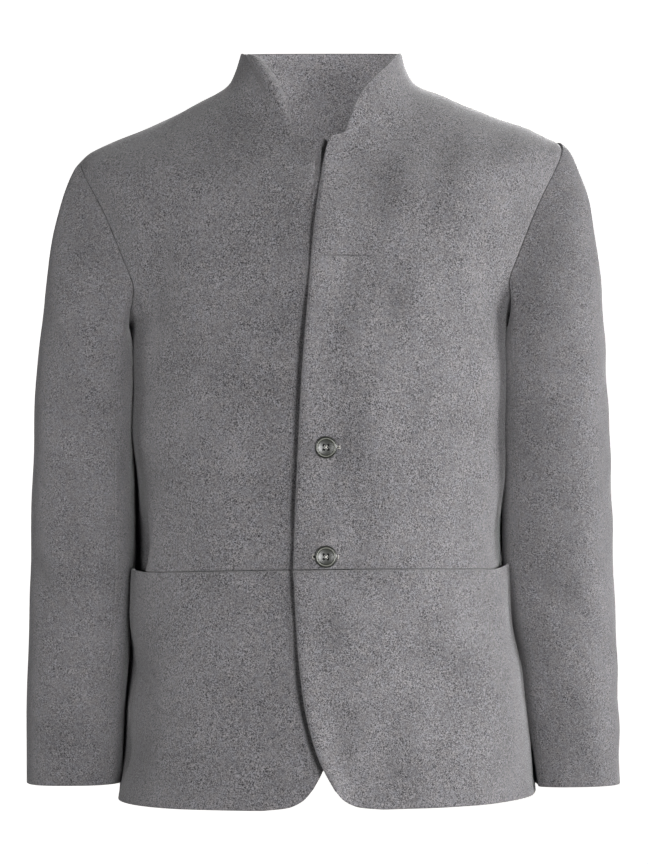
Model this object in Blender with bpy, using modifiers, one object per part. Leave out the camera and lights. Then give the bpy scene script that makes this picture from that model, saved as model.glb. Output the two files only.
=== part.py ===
"""Unstructured wool blazer, filled out as it is worn, with a stand collar cut in one with its fronts.

Metres, +Z up. The front faces -Y and the wearer's left is +X. The origin lies on the shoulders,
midway between the two points where the shoulder seams run into the collar.
The body is one smooth form lofted through level sections. Every panel is a stretch of that form,
between its own seams, given the thickness of the cloth.
"""

import math
from collections import namedtuple

import bmesh
import bpy
import numpy as np
from mathutils import Matrix, Vector

# Cloth and sewing
CLOTH = 0.0020  # wool flannel with its fused interlining
SEAM_GAP = 0.0003  # left open between two panels along a seam
LAP = 0.0015  # each front moves this far off the form where they lap: the left out, the right in
LAP_FULL, LAP_NONE = 0.036, 0.075  # distance from the centre line where the lap is whole, and where it ends
SEAM_ANGLE = math.radians(5)  # side and shoulder seams lie this far behind the sides
# The blazer hangs a little higher on the wearer's left: rise for each metre towards the left, by height
Lean = namedtuple("Lean", "z rise")
LEAN = (Lean(-0.68, 0.010), Lean(-0.45, 0.010), Lean(-0.12, 0.022), Lean(-0.04, 0.030), Lean(0.03, 0.002))

# Body sections, hem to collar: half width at the sides, depth ahead of and behind the sides, squareness of
# the oval, and the height at the sides, at the centre front and at the centre back
Section = namedtuple("Section", "name width front back square z_side z_front z_back")
SECTIONS = (
    Section("hem", 0.1985, 0.156, 0.130, 2.4, -0.678, -0.678, -0.678),
    Section("hip", 0.1900, 0.152, 0.126, 2.4, -0.575, -0.575, -0.575),
    Section("waist", 0.1810, 0.144, 0.110, 2.4, -0.461, -0.457, -0.461),
    Section("ribs", 0.1800, 0.146, 0.115, 2.4, -0.355, -0.355, -0.352),
    Section("chest", 0.1830, 0.148, 0.123, 2.4, -0.273, -0.275, -0.262),
    Section("armpit", 0.1870, 0.146, 0.127, 2.35, -0.222, -0.224, -0.200),
    Section("across", 0.2040, 0.140, 0.126, 2.25, -0.167, -0.176, -0.143),
    Section("yoke", 0.2200, 0.131, 0.121, 2.1, -0.114, -0.136, -0.097),
    Section("shoulder", 0.2330, 0.122, 0.112, 1.95, -0.073, -0.108, -0.063),
    Section("shoulder_end", 0.2130, 0.115, 0.104, 1.88, -0.0525, -0.092, -0.042),
    Section("mid_shoulder", 0.1560, 0.109, 0.094, 1.88, -0.0283, -0.079, -0.024),
    Section("neck_root", 0.1145, 0.104, 0.084, 1.92, -0.0105, -0.067, -0.010),
    Section("neck", 0.0925, 0.100, 0.076, 2.0, 0.0010, -0.054, 0.003),
    Section("collar_low", 0.0850, 0.097, 0.073, 2.0, 0.0096, -0.036, 0.013),
    Section("collar_mid", 0.0805, 0.094, 0.070, 2.0, 0.0200, -0.018, 0.026),
    Section("collar_top", 0.0770, 0.091, 0.066, 2.0, 0.0330, 0.000, 0.040),
)
LEVEL = {section.name: float(i) for i, section in enumerate(SECTIONS)}
HEM, WAIST, ARMPIT = LEVEL["hem"], LEVEL["waist"], LEVEL["armpit"]
NECK, COLLAR_TOP = LEVEL["neck"], LEVEL["collar_top"]
SHOULDER = LEVEL["shoulder"] + 0.6  # top of the armhole, where the sides have rolled into the shoulder line
NOTCH_RISE = 0.06  # share of a level over which the collar notch steps back

# Front edges of the fronts above the waist: distance from the centre line, minus where the front crosses it
Edge = namedtuple("Edge", "level left right")
FRONT_EDGE = (
    Edge(WAIST, -0.0263, -0.0300),
    Edge(LEVEL["chest"], -0.0180, -0.0220),
    Edge(LEVEL["across"], -0.0103, -0.0145),
    Edge(LEVEL["shoulder"], -0.0033, -0.0075),
    Edge(LEVEL["neck_root"], 0.0040, -0.0018),
    Edge(NECK - NOTCH_RISE, 0.0090, 0.0030),
    Edge(NECK + NOTCH_RISE, 0.0220, 0.0285),
    Edge(LEVEL["collar_low"], 0.0287, 0.0320),
    Edge(LEVEL["collar_mid"], 0.0383, 0.0387),
    Edge(COLLAR_TOP, 0.0740, 0.0565),
)

# Front edge and hem of the skirts below the waist, from the waist seam round the cut-away corner
Cut = namedtuple("Cut", "left right z")
SKIRT_EDGE = (
    Cut(-0.0263, -0.0300, -0.457),
    Cut(-0.0224, -0.0265, -0.524),
    Cut(-0.0159, -0.0205, -0.580),
    Cut(-0.0067, -0.0115, -0.618),
    Cut(0.0025, -0.0020, -0.641),
    Cut(0.0117, 0.0072, -0.658),
)
SKIRT_CORNER = (
    Cut(0.0575, 0.0530, -0.678),
    Cut(0.0355, 0.0310, -0.6755),
    Cut(0.0215, 0.0170, -0.669),
    Cut(0.0117, 0.0072, -0.658),
)

# Armhole
ARMHOLE_FRONT, ARMHOLE_BACK = math.radians(33), math.radians(25)  # how far it opens from the side seam
ARMHOLE_ROUND = 0.2  # share of its height that its round bottom takes
ARMHOLE_TOP_POWER = 0.32  # how squarely it closes at the shoulder, less for squarer

# Sleeve sections below the armpit: height, middle of the oval and its half sizes
SleeveSection = namedtuple("SleeveSection", "z x y half_x half_y")
SLEEVE = (
    SleeveSection(-0.262, 0.2235, -0.014, 0.0480, 0.073),
    SleeveSection(-0.360, 0.2270, -0.009, 0.0490, 0.069),
    SleeveSection(-0.460, 0.2285, 0.004, 0.0505, 0.064),
    SleeveSection(-0.570, 0.2335, 0.010, 0.0490, 0.058),
    SleeveSection(-0.669, 0.2375, 0.022, 0.0465, 0.051),
)
SLEEVE_SQUARE = 2.5  # squareness of its oval, 2 for a true one
CUFF = {"left": -0.671, "right": -0.665}  # height of each cuff
SWING = {"left": 0.004, "right": 0.0}  # how far each sleeve swings out at the cuff
SLEEVE_REST, SLEEVE_ROLL = 0.0020, 0.0010  # the sleeve rests this far off the body, rounding into it
# The sleeve head swings out of the armhole and hangs into the first section: shares of its length
CAP_SPREAD, CAP_DROP = 0.14, 0.50
CAP_OUTWARD = 1.0  # how far it swings to the side for each length that it falls
CAP_AIM = 0.02  # the first section's own fall is read over this height
SLEEVE_SEAMS = (math.radians(128), math.radians(-124))  # front and back seam, from the outside of the arm

# Pocket: its mouth is the open end of the waist seam, towards the side
MOUTH_START, MOUTH_DEEPEST = math.radians(-58), math.radians(-16)
MOUTH_GAPE = 0.012  # the front falls back this far behind the mouth
MOUTH_FADE = 0.10  # height above the waist seam where the front is back on the form
POCKET_DEPTH = 0.15

# Folds of the cloth, as troughs on a line across the front or back: its ends, half width and depth.
# A minus depth is a ridge.
Fold = namedtuple("Fold", "side face x0 z0 x1 z1 half_width depth")
FOLDS = (
    Fold("left", "front", 0.150, -0.155, 0.160, -0.215, 0.016, 0.0040),
    Fold("right", "front", 0.152, -0.150, 0.163, -0.220, 0.018, 0.0055),
    Fold("left", "front", 0.060, -0.100, 0.120, -0.290, 0.045, 0.0040),
    Fold("right", "front", 0.065, -0.090, 0.100, -0.300, 0.050, 0.0050),
    Fold("left", "front", 0.075, -0.520, 0.140, -0.585, 0.035, 0.0045),
    Fold("left", "front", 0.165, -0.560, 0.150, -0.660, 0.024, -0.0040),
    Fold("right", "front", 0.165, -0.530, 0.172, -0.660, 0.026, 0.0050),
    Fold("left", "back", 0.150, -0.150, 0.165, -0.250, 0.020, 0.0045),
    Fold("right", "back", 0.152, -0.145, 0.164, -0.255, 0.020, 0.0045),
    Fold("left", "back", 0.050, -0.400, 0.150, -0.430, 0.026, 0.0050),
    Fold("right", "back", 0.040, -0.415, 0.145, -0.440, 0.026, 0.0045),
)
# Folds of a sleeve: its ends, each as degrees round the arm, forward from its outside, and a height;
# then its half width and depth
SleeveFold = namedtuple("SleeveFold", "side turn0 z0 turn1 z1 half_width depth")
SLEEVE_FOLDS = (
    SleeveFold("right", 0, -0.130, 10, -0.200, 0.045, 0.0038),
    SleeveFold("left", 0, -0.075, 0, -0.105, 0.030, -0.0030),
    SleeveFold("right", 40, -0.220, 85, -0.320, 0.020, 0.0040),
    SleeveFold("right", 30, -0.470, 95, -0.500, 0.022, 0.0035),
    SleeveFold("left", 35, -0.370, 95, -0.395, 0.020, 0.0035),
    SleeveFold("left", 45, -0.530, 100, -0.500, 0.022, 0.0040),
    SleeveFold("left", -60, -0.430, -120, -0.455, 0.022, 0.0040),
    SleeveFold("right", -60, -0.440, -120, -0.460, 0.022, 0.0040),
)

# Buttons
BUTTON_RADIUS, BUTTON_THICK, BUTTON_RIM = 0.0103, 0.0034, 0.0022
BUTTON_DISH, BUTTON_EDGE = 0.0009, 0.0008  # depth of its dished middle, and height of its turned-off edges
BUTTON_HOLE_RADIUS, BUTTON_HOLE_STEP = 0.0009, 0.0022  # a hole, and how far it lies from both centre lines
BUTTON_HEIGHTS = {"button_upper": -0.344, "button_lower": -0.445}
BUTTON_X = 0.0043

# How finely the panels are divided
ARMHOLE_ROWS, SHOULDER_ROWS, COLLAR_ROWS = 11, 7, 4
FRONT_ROWS, BACK_ROWS = 9, 15  # below the armpit
ROW_HOLD = 1.6  # a front's rows follow its edge this much longer before they turn to the armhole
FRONT_COLUMNS, BACK_COLUMNS, COLLAR_COLUMNS = 13, 20, 16
SKIRT_ROWS, SKIRT_COLUMNS, CORNER_COLUMNS = 9, 13, 4
POCKET_ROWS, POCKET_COLUMNS = 6, 8  # of the skirt's
CAP_ROWS, SLEEVE_ROWS = 7, 13
ELBOW_ROW = 3  # below the sleeve head, where a top sleeve is split in two so that its collision stays hollow
BUTTON_STEPS, BUTTON_HOLE_SIDES = 24, 8
BUTTON_WELD = 1e-5  # joins the turned button's points on its axis
FINE_STEPS = 400  # along a curve that is measured or looked up
NORMAL_STEP = 0.002  # of level or angle, over which the form's direction is read
SHORTEST = 1e-12  # a vector is divided by this length at least
MITRE_LIMIT = 0.6  # cosine beyond which a mitred seam is no longer drawn out
SHARP_EDGE = math.radians(50)
WOOL_COLOUR, WOOL_ROUGHNESS = (0.19, 0.187, 0.192, 1), 0.95
BUTTON_COLOUR, BUTTON_ROUGHNESS = (0.045, 0.046, 0.042, 1), 0.35

SIDES = {"left": 1.0, "right": -1.0}
RIM_SPLIT = Vector((0.31, 0.23, 0.92))  # rim faces are split along this way, alike on both sides of a seam


# Curves and surfaces


def even_bend(values):
    """A curve through the values at 0, 1, 2 and so on, whose bend has no break."""
    values = np.asarray(values, float)
    count = len(values)
    system = 4 * np.eye(count) + np.eye(count, k=1) + np.eye(count, k=-1)
    system[0, :2] = 1, 0
    system[-1, -2:] = 0, 1
    bends = np.zeros(count)
    bends[1:-1] = 6 * np.diff(values, 2)
    bends = np.linalg.solve(system, bends)

    def at(places):
        places = np.clip(places, 0, count - 1)
        i = np.clip(np.floor(places).astype(int), 0, count - 2)
        u, v = places - i, i + 1 - places
        return v * values[i] + u * values[i + 1] + ((v**3 - v) * bends[i] + (u**3 - u) * bends[i + 1]) / 6

    return at


def smooth_curve(knots, values):
    """A smooth curve through the values that never overshoots them."""
    knots, values = np.asarray(knots, float), np.asarray(values, float)
    widths = np.diff(knots)
    slopes = np.diff(values) / widths
    tangents = np.zeros(len(values))
    tangents[0], tangents[-1] = slopes[0], slopes[-1]
    for i in range(1, len(values) - 1):
        before, after = slopes[i - 1], slopes[i]
        if before * after > 0:
            tangents[i] = 2 * before * after / (before + after)

    def at(places):
        places = np.clip(places, knots[0], knots[-1])
        i = np.clip(np.searchsorted(knots, places, side="right") - 1, 0, len(widths) - 1)
        u = (places - knots[i]) / widths[i]
        start = (1 + 2 * u) * (1 - u) ** 2 * values[i] + u * (1 - u) ** 2 * widths[i] * tangents[i]
        end = u**2 * (3 - 2 * u) * values[i + 1] + u**2 * (u - 1) * widths[i] * tangents[i + 1]
        return start + end

    return at


def smooth_step(start, end, places):
    """0 at start, 1 at end, smooth between."""
    u = np.clip((places - start) / (end - start), 0, 1)
    return u * u * (3 - 2 * u)


def unit(vectors):
    return vectors / np.maximum(np.linalg.norm(vectors, axis=-1, keepdims=True), SHORTEST)


def signed_power(values, power):
    return np.sign(values) * np.abs(values) ** power


BODY = {
    column: even_bend([getattr(section, column) for section in SECTIONS])
    for column in Section._fields[1:]
}
EDGE = {
    side: smooth_curve([edge.level for edge in FRONT_EDGE], [getattr(edge, side) for edge in FRONT_EDGE])
    for side in SIDES
}
lean_at = smooth_curve([lean.z for lean in LEAN], [lean.rise for lean in LEAN])
FINE_LEVELS = np.linspace(HEM, COLLAR_TOP, FINE_STEPS + 1)
SHOULDER_LEVELS = np.linspace(SHOULDER, NECK, SHOULDER_ROWS + 1)
COLLAR_LEVELS = np.linspace(NECK, COLLAR_TOP, COLLAR_ROWS + 1)


def level_of_height(z):
    """The level at this height of the sides, below the armpit."""
    return np.interp(z, BODY["z_side"](FINE_LEVELS), FINE_LEVELS)


def front_level(z):
    """The level at this height of the centre front."""
    return np.interp(z, BODY["z_front"](FINE_LEVELS), FINE_LEVELS)


def body_point(level, angle):
    """A point of the form. Angle 0 is the wearer's left side, -90 degrees the centre front."""
    level, angle = np.broadcast_arrays(np.asarray(level, float), np.asarray(angle, float))
    along, across = np.cos(angle), np.sin(angle)
    power = 2 / BODY["square"](level)
    ahead = across < 0
    depth = np.where(ahead, BODY["front"](level), BODY["back"](level))
    z_middle = np.where(ahead, BODY["z_front"](level), BODY["z_back"](level))
    z_side = BODY["z_side"](level)
    x = BODY["width"](level) * signed_power(along, power)
    y = depth * signed_power(across, power)
    z = z_side + (z_middle - z_side) * across**2
    return np.stack([x, y, z], axis=-1)


def body_normal(level, angle):
    """The form's outward direction."""
    low = np.clip(np.asarray(level) - NORMAL_STEP, HEM, COLLAR_TOP)
    high = np.clip(np.asarray(level) + NORMAL_STEP, HEM, COLLAR_TOP)
    round_it = body_point(level, angle + NORMAL_STEP) - body_point(level, angle - NORMAL_STEP)
    up = body_point(high, angle) - body_point(low, angle)
    return unit(np.cross(round_it, up))


def angle_at(level, x):
    """The angle on the front of the form at this distance from the centre line."""
    share = np.clip(x / BODY["width"](level), -1, 1)
    return -np.arccos(signed_power(share, BODY["square"](level) / 2))


def trough(points, start, end, half_width):
    """1 along the line from start to end, fading out to both sides and past its ends."""
    start, end = np.asarray(start), np.asarray(end)
    line = end - start
    along = np.clip(((points - start) @ line) / (line @ line), 0, 1)
    away = np.linalg.norm(points - start - along[..., None] * line, axis=-1)
    return np.exp(-((away / half_width) ** 2))


def fold_depth(points, side, face):
    """How far the cloth falls in at these points of one side's front or back."""
    seen = points[..., [0, 2]]
    depth = np.zeros(points.shape[:-1])
    for fold in FOLDS:
        if (fold.side, fold.face) == (side, face):
            depth += fold.depth * trough(seen, (fold.x0, fold.z0), (fold.x1, fold.z1), fold.half_width)
    return depth


def even_angles(level, start, end, count):
    """Angles from start to end on one level, spaced evenly along the cloth."""
    fine = np.linspace(start, end, FINE_STEPS + 1)
    steps = np.linalg.norm(np.diff(body_point(level, fine), axis=0), axis=1)
    along = np.concatenate([[0], np.cumsum(steps)])
    return np.interp(np.linspace(0, along[-1], count + 1), along, fine)


def coons(top, bottom, first, last, hold=1.0):
    """A patch of (angle, level) pairs from its four edges. Rows run top to bottom, columns first to last.

    A hold above 1 keeps the patch's rows in line with its first edge for longer.
    """
    row = np.linspace(0, 1, len(first))[:, None, None]
    column = np.linspace(0, 1, len(top))[None, :, None] ** hold
    down = (1 - row) * top[None] + row * bottom[None]
    over = (1 - column) * first[:, None] + column * last[:, None]
    upper_corners = (1 - column) * top[0] + column * top[-1]
    lower_corners = (1 - column) * bottom[0] + column * bottom[-1]
    return down + over - (1 - row) * upper_corners - row * lower_corners


def along_cuts(cuts, side, count):
    """(reach, z) at even steps along a smooth line through one side's cuts."""
    points = np.array([(getattr(cut, side), cut.z) for cut in cuts])
    places = np.concatenate([[0], np.cumsum(np.linalg.norm(np.diff(points, axis=0), axis=1))])
    even = np.linspace(0, places[-1], count + 1)
    return np.stack([smooth_curve(places, points[:, k])(even) for k in range(2)], axis=1)


# Armhole and sleeve


def armhole_reach(share, widest):
    """How far the armhole opens from the side seam, from its bottom at share 0 to the shoulder at 1."""
    low = np.sqrt(np.clip(1 - ((ARMHOLE_ROUND - share) / ARMHOLE_ROUND) ** 2, 0, 1))
    high = (np.clip(1 - share, 0, 1) / (1 - ARMHOLE_ROUND)) ** ARMHOLE_TOP_POWER
    return widest * np.where(share < ARMHOLE_ROUND, low, high)


def armhole_levels():
    """Levels of the armhole's rows, spaced evenly down its front edge."""
    share = np.linspace(0, 1, FINE_STEPS + 1)
    levels = ARMPIT + share * (SHOULDER - ARMPIT)
    edge = body_point(levels, SEAM_ANGLE - armhole_reach(share, ARMHOLE_FRONT))
    along = np.concatenate([[0], np.cumsum(np.linalg.norm(np.diff(edge, axis=0), axis=1))])
    return np.interp(np.linspace(0, along[-1], ARMHOLE_ROWS + 1), along, levels)


ARMHOLE_LEVELS = armhole_levels()


def side_angle(levels, widest):
    """The edge of a panel towards the side: the side seam, then the armhole, then the shoulder seam."""
    share = (np.asarray(levels) - ARMPIT) / (SHOULDER - ARMPIT)
    reach = np.where((share > 0) & (share < 1), armhole_reach(np.clip(share, 0, 1), widest), 0.0)
    return SEAM_ANGLE + reach


def armhole_loop():
    """(levels, angles) round the left armhole: from the shoulder down its front, then up its back."""
    front = 2 * SEAM_ANGLE - side_angle(ARMHOLE_LEVELS, ARMHOLE_FRONT)
    back = side_angle(ARMHOLE_LEVELS, ARMHOLE_BACK)
    levels = np.concatenate([ARMHOLE_LEVELS[::-1], ARMHOLE_LEVELS[1:-1]])
    return levels, np.concatenate([front[::-1], back[1:-1]])


def sleeve_oval(z, turn):
    """A point of the left sleeve below the armpit. Turn 0 is the outside of the arm, 90 degrees its front."""
    heights = [-section.z for section in SLEEVE]
    x, y, half_x, half_y = (
        smooth_curve(heights, [getattr(section, column) for section in SLEEVE])(-np.asarray(z))
        for column in SleeveSection._fields[1:]
    )
    power = 2 / SLEEVE_SQUARE
    x, y = x + half_x * signed_power(np.cos(turn), power), y - half_y * signed_power(np.sin(turn), power)
    x, y, z = np.broadcast_arrays(x, y, z)
    rest = body_side(z, y) + SLEEVE_REST
    x = (x + rest) / 2 + np.sqrt(((x - rest) / 2) ** 2 + SLEEVE_ROLL**2)
    return np.stack([x, y, z], axis=-1)


def body_side(z, y):
    """Half the body's width at a height below the armpit and a depth."""
    level = level_of_height(z)
    depth = np.where(y < 0, BODY["front"](level), BODY["back"](level))
    square = BODY["square"](level)
    return BODY["width"](level) * np.clip(1 - np.abs(y / depth) ** square, 0, 1) ** (1 / square)


def sleeve_grid(side):
    """(points, normals, turns) of a sleeve on the wearer's left, rows from the armhole down to the cuff."""
    loop = body_point(*armhole_loop())
    steps = np.linalg.norm(np.roll(loop, -1, axis=0) - loop, axis=1)
    turns = 2 * math.pi * np.concatenate([[0], np.cumsum(steps)[:-1]]) / steps.sum()
    first, cuff = SLEEVE[0].z, CUFF[side]
    ring = sleeve_oval(np.full(len(turns), first), turns)
    down = unit(sleeve_oval(np.full(len(turns), first - CAP_AIM), turns) - ring)
    fall = ring - loop
    reach = np.linalg.norm(fall, axis=1, keepdims=True)
    outward = unit(unit(fall) + CAP_OUTWARD * np.array([1.0, 0, 0]))
    leave = loop + CAP_SPREAD * reach * outward
    arrive = ring - CAP_DROP * reach * down
    u = np.linspace(0, 1, CAP_ROWS + 1)[:-1, None, None]
    cap = (1 - u) ** 3 * loop + 3 * u * (1 - u) ** 2 * leave + 3 * u**2 * (1 - u) * arrive + u**3 * ring
    heights = np.linspace(first, cuff, SLEEVE_ROWS + 1)[:, None]
    arm = sleeve_oval(np.broadcast_to(heights, (len(heights), len(turns))), turns[None])
    arm[..., 0] += SWING[side] * ((heights - first) / (cuff - first)) ** 2
    points = np.concatenate([cap, arm])
    round_it = np.roll(points, -1, axis=1) - np.roll(points, 1, axis=1)
    along = np.gradient(points, axis=0)
    along[0] = outward
    normals = unit(np.cross(round_it, along))
    depth = np.zeros(points.shape[:2])
    for fold in SLEEVE_FOLDS:
        if fold.side == side:
            depth += sleeve_trough(fold, points, turns)
    return points - depth[..., None] * normals, normals, turns


def sleeve_trough(fold, points, turns):
    """How far one fold takes the sleeve in."""
    radius = (SLEEVE[1].half_x + SLEEVE[1].half_y) / 2
    turned = (turns + math.pi) % (2 * math.pi) - math.pi
    flat = np.stack(np.broadcast_arrays(radius * turned[None], points[..., 2]), axis=-1)
    ends = [(radius * math.radians(t), z) for t, z in ((fold.turn0, fold.z0), (fold.turn1, fold.z1))]
    return fold.depth * trough(flat, *ends, fold.half_width)


def mitre(first, second):
    """The way through the cloth where two panels meet at an angle, so that their edges stay parallel."""
    middle = unit(first + second)
    return middle / np.clip((middle * first).sum(axis=-1, keepdims=True), MITRE_LIMIT, 1)


# Solids


def inset(points, normals, gap):
    """The panel's rim drawn in along the cloth by half a seam's gap."""
    moved = points.copy()
    rims = (
        (np.s_[0, :], points[1] - points[0]),
        (np.s_[-1, :], points[-2] - points[-1]),
        (np.s_[:, 0], points[:, 1] - points[:, 0]),
        (np.s_[:, -1], points[:, -2] - points[:, -1]),
    )
    for rim, inward in rims:
        across = unit(np.cross(normals[rim], unit(np.gradient(points[rim], axis=0))))
        across *= np.sign((across * inward).sum(axis=-1, keepdims=True))
        moved[rim] += across * gap / 2
    return moved


def hang(points, side):
    """Points of the left side put on their own side, with the lean of the shoulders."""
    points = points * np.array([side, 1, 1])
    rise = points[..., 0] * lean_at(points[..., 2])
    return points + rise[..., None] * np.array([0, 0, 1.0])


def loft_wall(name, outer, inner, material, side=1.0):
    """A closed wall between an outer and an inner grid of points."""
    rows, columns = outer.shape[:2]
    shell = bmesh.new()
    front = [[shell.verts.new(p) for p in row] for row in hang(outer, side)]
    rear = [[shell.verts.new(p) for p in row] for row in hang(inner, side)]
    for i in range(rows - 1):
        for j in range(columns - 1):
            shell.faces.new((front[i][j], front[i][j + 1], front[i + 1][j + 1], front[i + 1][j]))
            shell.faces.new((rear[i][j], rear[i + 1][j], rear[i + 1][j + 1], rear[i][j + 1]))
    rim = [(0, j) for j in range(columns)] + [(i, columns - 1) for i in range(1, rows)]
    rim += [(rows - 1, j) for j in range(columns - 2, -1, -1)] + [(i, 0) for i in range(rows - 2, 0, -1)]
    for pair in zip(rim, rim[1:] + rim[:1]):
        (i, j), (k, m) = sorted(pair, key=lambda place: front[place[0]][place[1]].co.dot(RIM_SPLIT))
        shell.faces.new((front[i][j], front[k][m], rear[k][m]))
        shell.faces.new((front[i][j], rear[k][m], rear[i][j]))
    bmesh.ops.recalc_face_normals(shell, faces=shell.faces)
    mesh = bpy.data.meshes.new(name)
    shell.to_mesh(mesh)
    shell.free()
    mesh.shade_smooth()
    mesh.set_sharp_from_angle(angle=SHARP_EDGE)
    mesh.materials.append(material)
    obj = bpy.data.objects.new(name, mesh)
    PARTS.objects.link(obj)
    return obj


def sew(name, points, normals, through=None, side="left"):
    """A panel of cloth from its outer points, drawn in at the seams."""
    outer = inset(points, normals, SEAM_GAP)
    inner = outer - CLOTH * (normals if through is None else through)
    return loft_wall(name, outer, inner, WOOL, SIDES[side])


def collection(name):
    made = bpy.data.collections.new(name)
    bpy.context.scene.collection.children.link(made)
    return made


def finish(name, colour, roughness):
    material = bpy.data.materials.new(name)
    material.use_nodes = True
    shader = material.node_tree.nodes["Principled BSDF"]
    shader.inputs["Base Color"].default_value = colour
    shader.inputs["Roughness"].default_value = roughness
    shader.inputs["Metallic"].default_value = 0.0
    return material


# Panels


def front_offset(levels, angles, points, side):
    """How far a front lies off the form: its lap over or under the other front, and its folds."""
    near = 1 - smooth_step(LAP_FULL, LAP_NONE, points[..., 0])
    below_collar = 1 - smooth_step(NECK, COLLAR_TOP, levels)
    lap = SIDES[side] * LAP * near * np.where(np.sin(angles) < 0, below_collar, 0)
    return lap - fold_depth(points, side, "front")


def mouth_gape(angles):
    """How far the pocket's mouth stands open, from none at the closed seam to none at the side seam."""
    rise = smooth_step(MOUTH_START, MOUTH_DEEPEST, angles)
    fall = 1 - smooth_step(MOUTH_DEEPEST, SEAM_ANGLE, angles)
    return MOUTH_GAPE * np.minimum(rise, fall)


def front_grid(side):
    """(angles, levels) of an upper front, rows up from the waist seam, columns from the front edge."""
    seam_levels = np.concatenate([
        np.linspace(WAIST, ARMPIT, FRONT_ROWS + 1)[:-1],
        ARMHOLE_LEVELS,
        SHOULDER_LEVELS[1:],
        COLLAR_LEVELS[1:],
    ])
    below = len(seam_levels) - len(COLLAR_LEVELS) + 1
    heights = np.linspace(BODY["z_front"](WAIST), BODY["z_front"](NECK - NOTCH_RISE), below)
    edge_levels = np.concatenate([
        front_level(heights),
        np.linspace(NECK + NOTCH_RISE, COLLAR_TOP, len(COLLAR_LEVELS) - 1),
    ])
    edge_levels[0] = WAIST
    edge = np.stack([angle_at(edge_levels, EDGE[side](edge_levels)), edge_levels], axis=1)
    seam = np.stack([2 * SEAM_ANGLE - side_angle(seam_levels, ARMHOLE_FRONT), seam_levels], axis=1)
    rims = []
    for row in (0, -1):
        angles = even_angles(seam_levels[row], edge[row, 0], seam[row, 0], FRONT_COLUMNS)
        rims.append(np.stack([angles, np.full(len(angles), seam_levels[row])], axis=1))
    return np.moveaxis(coons(*rims, edge, seam, ROW_HOLD), -1, 0)


def build_front(side, seam_through):
    """An upper front, from the waist seam to the top of the collar."""
    angles, levels = front_grid(side)
    form, normals = body_point(levels, angles), body_normal(levels, angles)
    offset = front_offset(levels, angles, form, side)
    waist_z = BODY["z_side"](WAIST)
    offset = offset - mouth_gape(angles) * (1 - smooth_step(waist_z, waist_z + MOUTH_FADE, form[..., 2]))
    through = normals.copy()
    through[FRONT_ROWS : FRONT_ROWS + ARMHOLE_ROWS + 1, -1] = seam_through[: ARMHOLE_ROWS + 1][::-1]
    sew(f"front_{side}", form + offset[..., None] * normals, normals, through, side)


def skirt_grid(side):
    """(angles, levels) of a lower front, rows down from the waist seam, columns from the side seam."""
    edge, corner = along_cuts(SKIRT_EDGE, side, SKIRT_ROWS), along_cuts(SKIRT_CORNER, side, CORNER_COLUMNS)
    front_levels = np.concatenate([[WAIST], level_of_height(edge[1:, 1])])
    front = np.stack([angle_at(front_levels, edge[:, 0]), front_levels], axis=1)
    corner_levels = level_of_height(corner[:, 1])
    round_corner = np.stack([angle_at(corner_levels, corner[:, 0]), corner_levels], axis=1)
    flat_angles = even_angles(HEM, SEAM_ANGLE, round_corner[0, 0], SKIRT_COLUMNS - CORNER_COLUMNS)[:-1]
    hem = np.concatenate([np.stack([flat_angles, np.full(len(flat_angles), HEM)], axis=1), round_corner])
    waist_angles = even_angles(WAIST, SEAM_ANGLE, front[0, 0], SKIRT_COLUMNS)
    waist = np.stack([waist_angles, np.full(len(waist_angles), WAIST)], axis=1)
    side_levels = np.linspace(WAIST, HEM, SKIRT_ROWS + 1)
    seam = np.stack([np.full(len(side_levels), SEAM_ANGLE), side_levels], axis=1)
    return np.moveaxis(coons(waist, hem, seam, front), -1, 0)


def build_skirt(side):
    """A lower front, from the waist seam to the hem, with its corner cut away."""
    angles, levels = skirt_grid(side)
    form, normals = body_point(levels, angles), body_normal(levels, angles)
    offset = front_offset(levels, angles, form, side)
    sew(f"skirt_{side}", form + offset[..., None] * normals, normals, side=side)


def build_pocket(side):
    """The back of a pocket: the skirt's points moved in, most behind the open part of the mouth."""
    angles, levels = skirt_grid(side)[:, : POCKET_ROWS + 1, : POCKET_COLUMNS + 1]
    form, normals = body_point(levels, angles), body_normal(levels, angles)
    mouth_z = BODY["z_side"](WAIST)
    gape = mouth_gape(angles) * (1 - smooth_step(mouth_z, mouth_z - POCKET_DEPTH, form[..., 2]))
    offset = front_offset(levels, angles, form, side) - CLOTH - SEAM_GAP - gape
    sew(f"pocket_{side}", form + offset[..., None] * normals, normals, side=side)


def build_back(seam_through):
    """The back, from the hem to the shoulder seams and the collar seam."""
    seam_levels = np.concatenate([
        np.linspace(HEM, ARMPIT, BACK_ROWS + 1)[:-1],
        ARMHOLE_LEVELS,
        SHOULDER_LEVELS[1:],
    ])
    middle_levels = np.interp(
        np.linspace(BODY["z_back"](HEM), BODY["z_back"](NECK), len(seam_levels)),
        BODY["z_back"](FINE_LEVELS), FINE_LEVELS,
    )
    share = np.linspace(-1, 1, BACK_COLUMNS + 1)
    levels = middle_levels[:, None] + (seam_levels - middle_levels)[:, None] * share**2
    start = side_angle(seam_levels, ARMHOLE_BACK)
    angles = np.array([
        even_angles(level, angle, math.pi - angle, BACK_COLUMNS)
        for level, angle in zip(seam_levels, start)
    ])
    form, normals = body_point(levels, angles), body_normal(levels, angles)
    mirrored = form * np.array([-1, 1, 1])
    depth = fold_depth(form, "left", "back") + fold_depth(mirrored, "right", "back")
    through = normals.copy()
    seam = np.concatenate([seam_through[ARMHOLE_ROWS:], seam_through[:1]])
    armhole = slice(BACK_ROWS, BACK_ROWS + ARMHOLE_ROWS + 1)
    through[armhole, 0] = seam
    through[armhole, -1] = seam * np.array([-1, 1, 1])
    sew("back", form - depth[..., None] * normals, normals, through)


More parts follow.
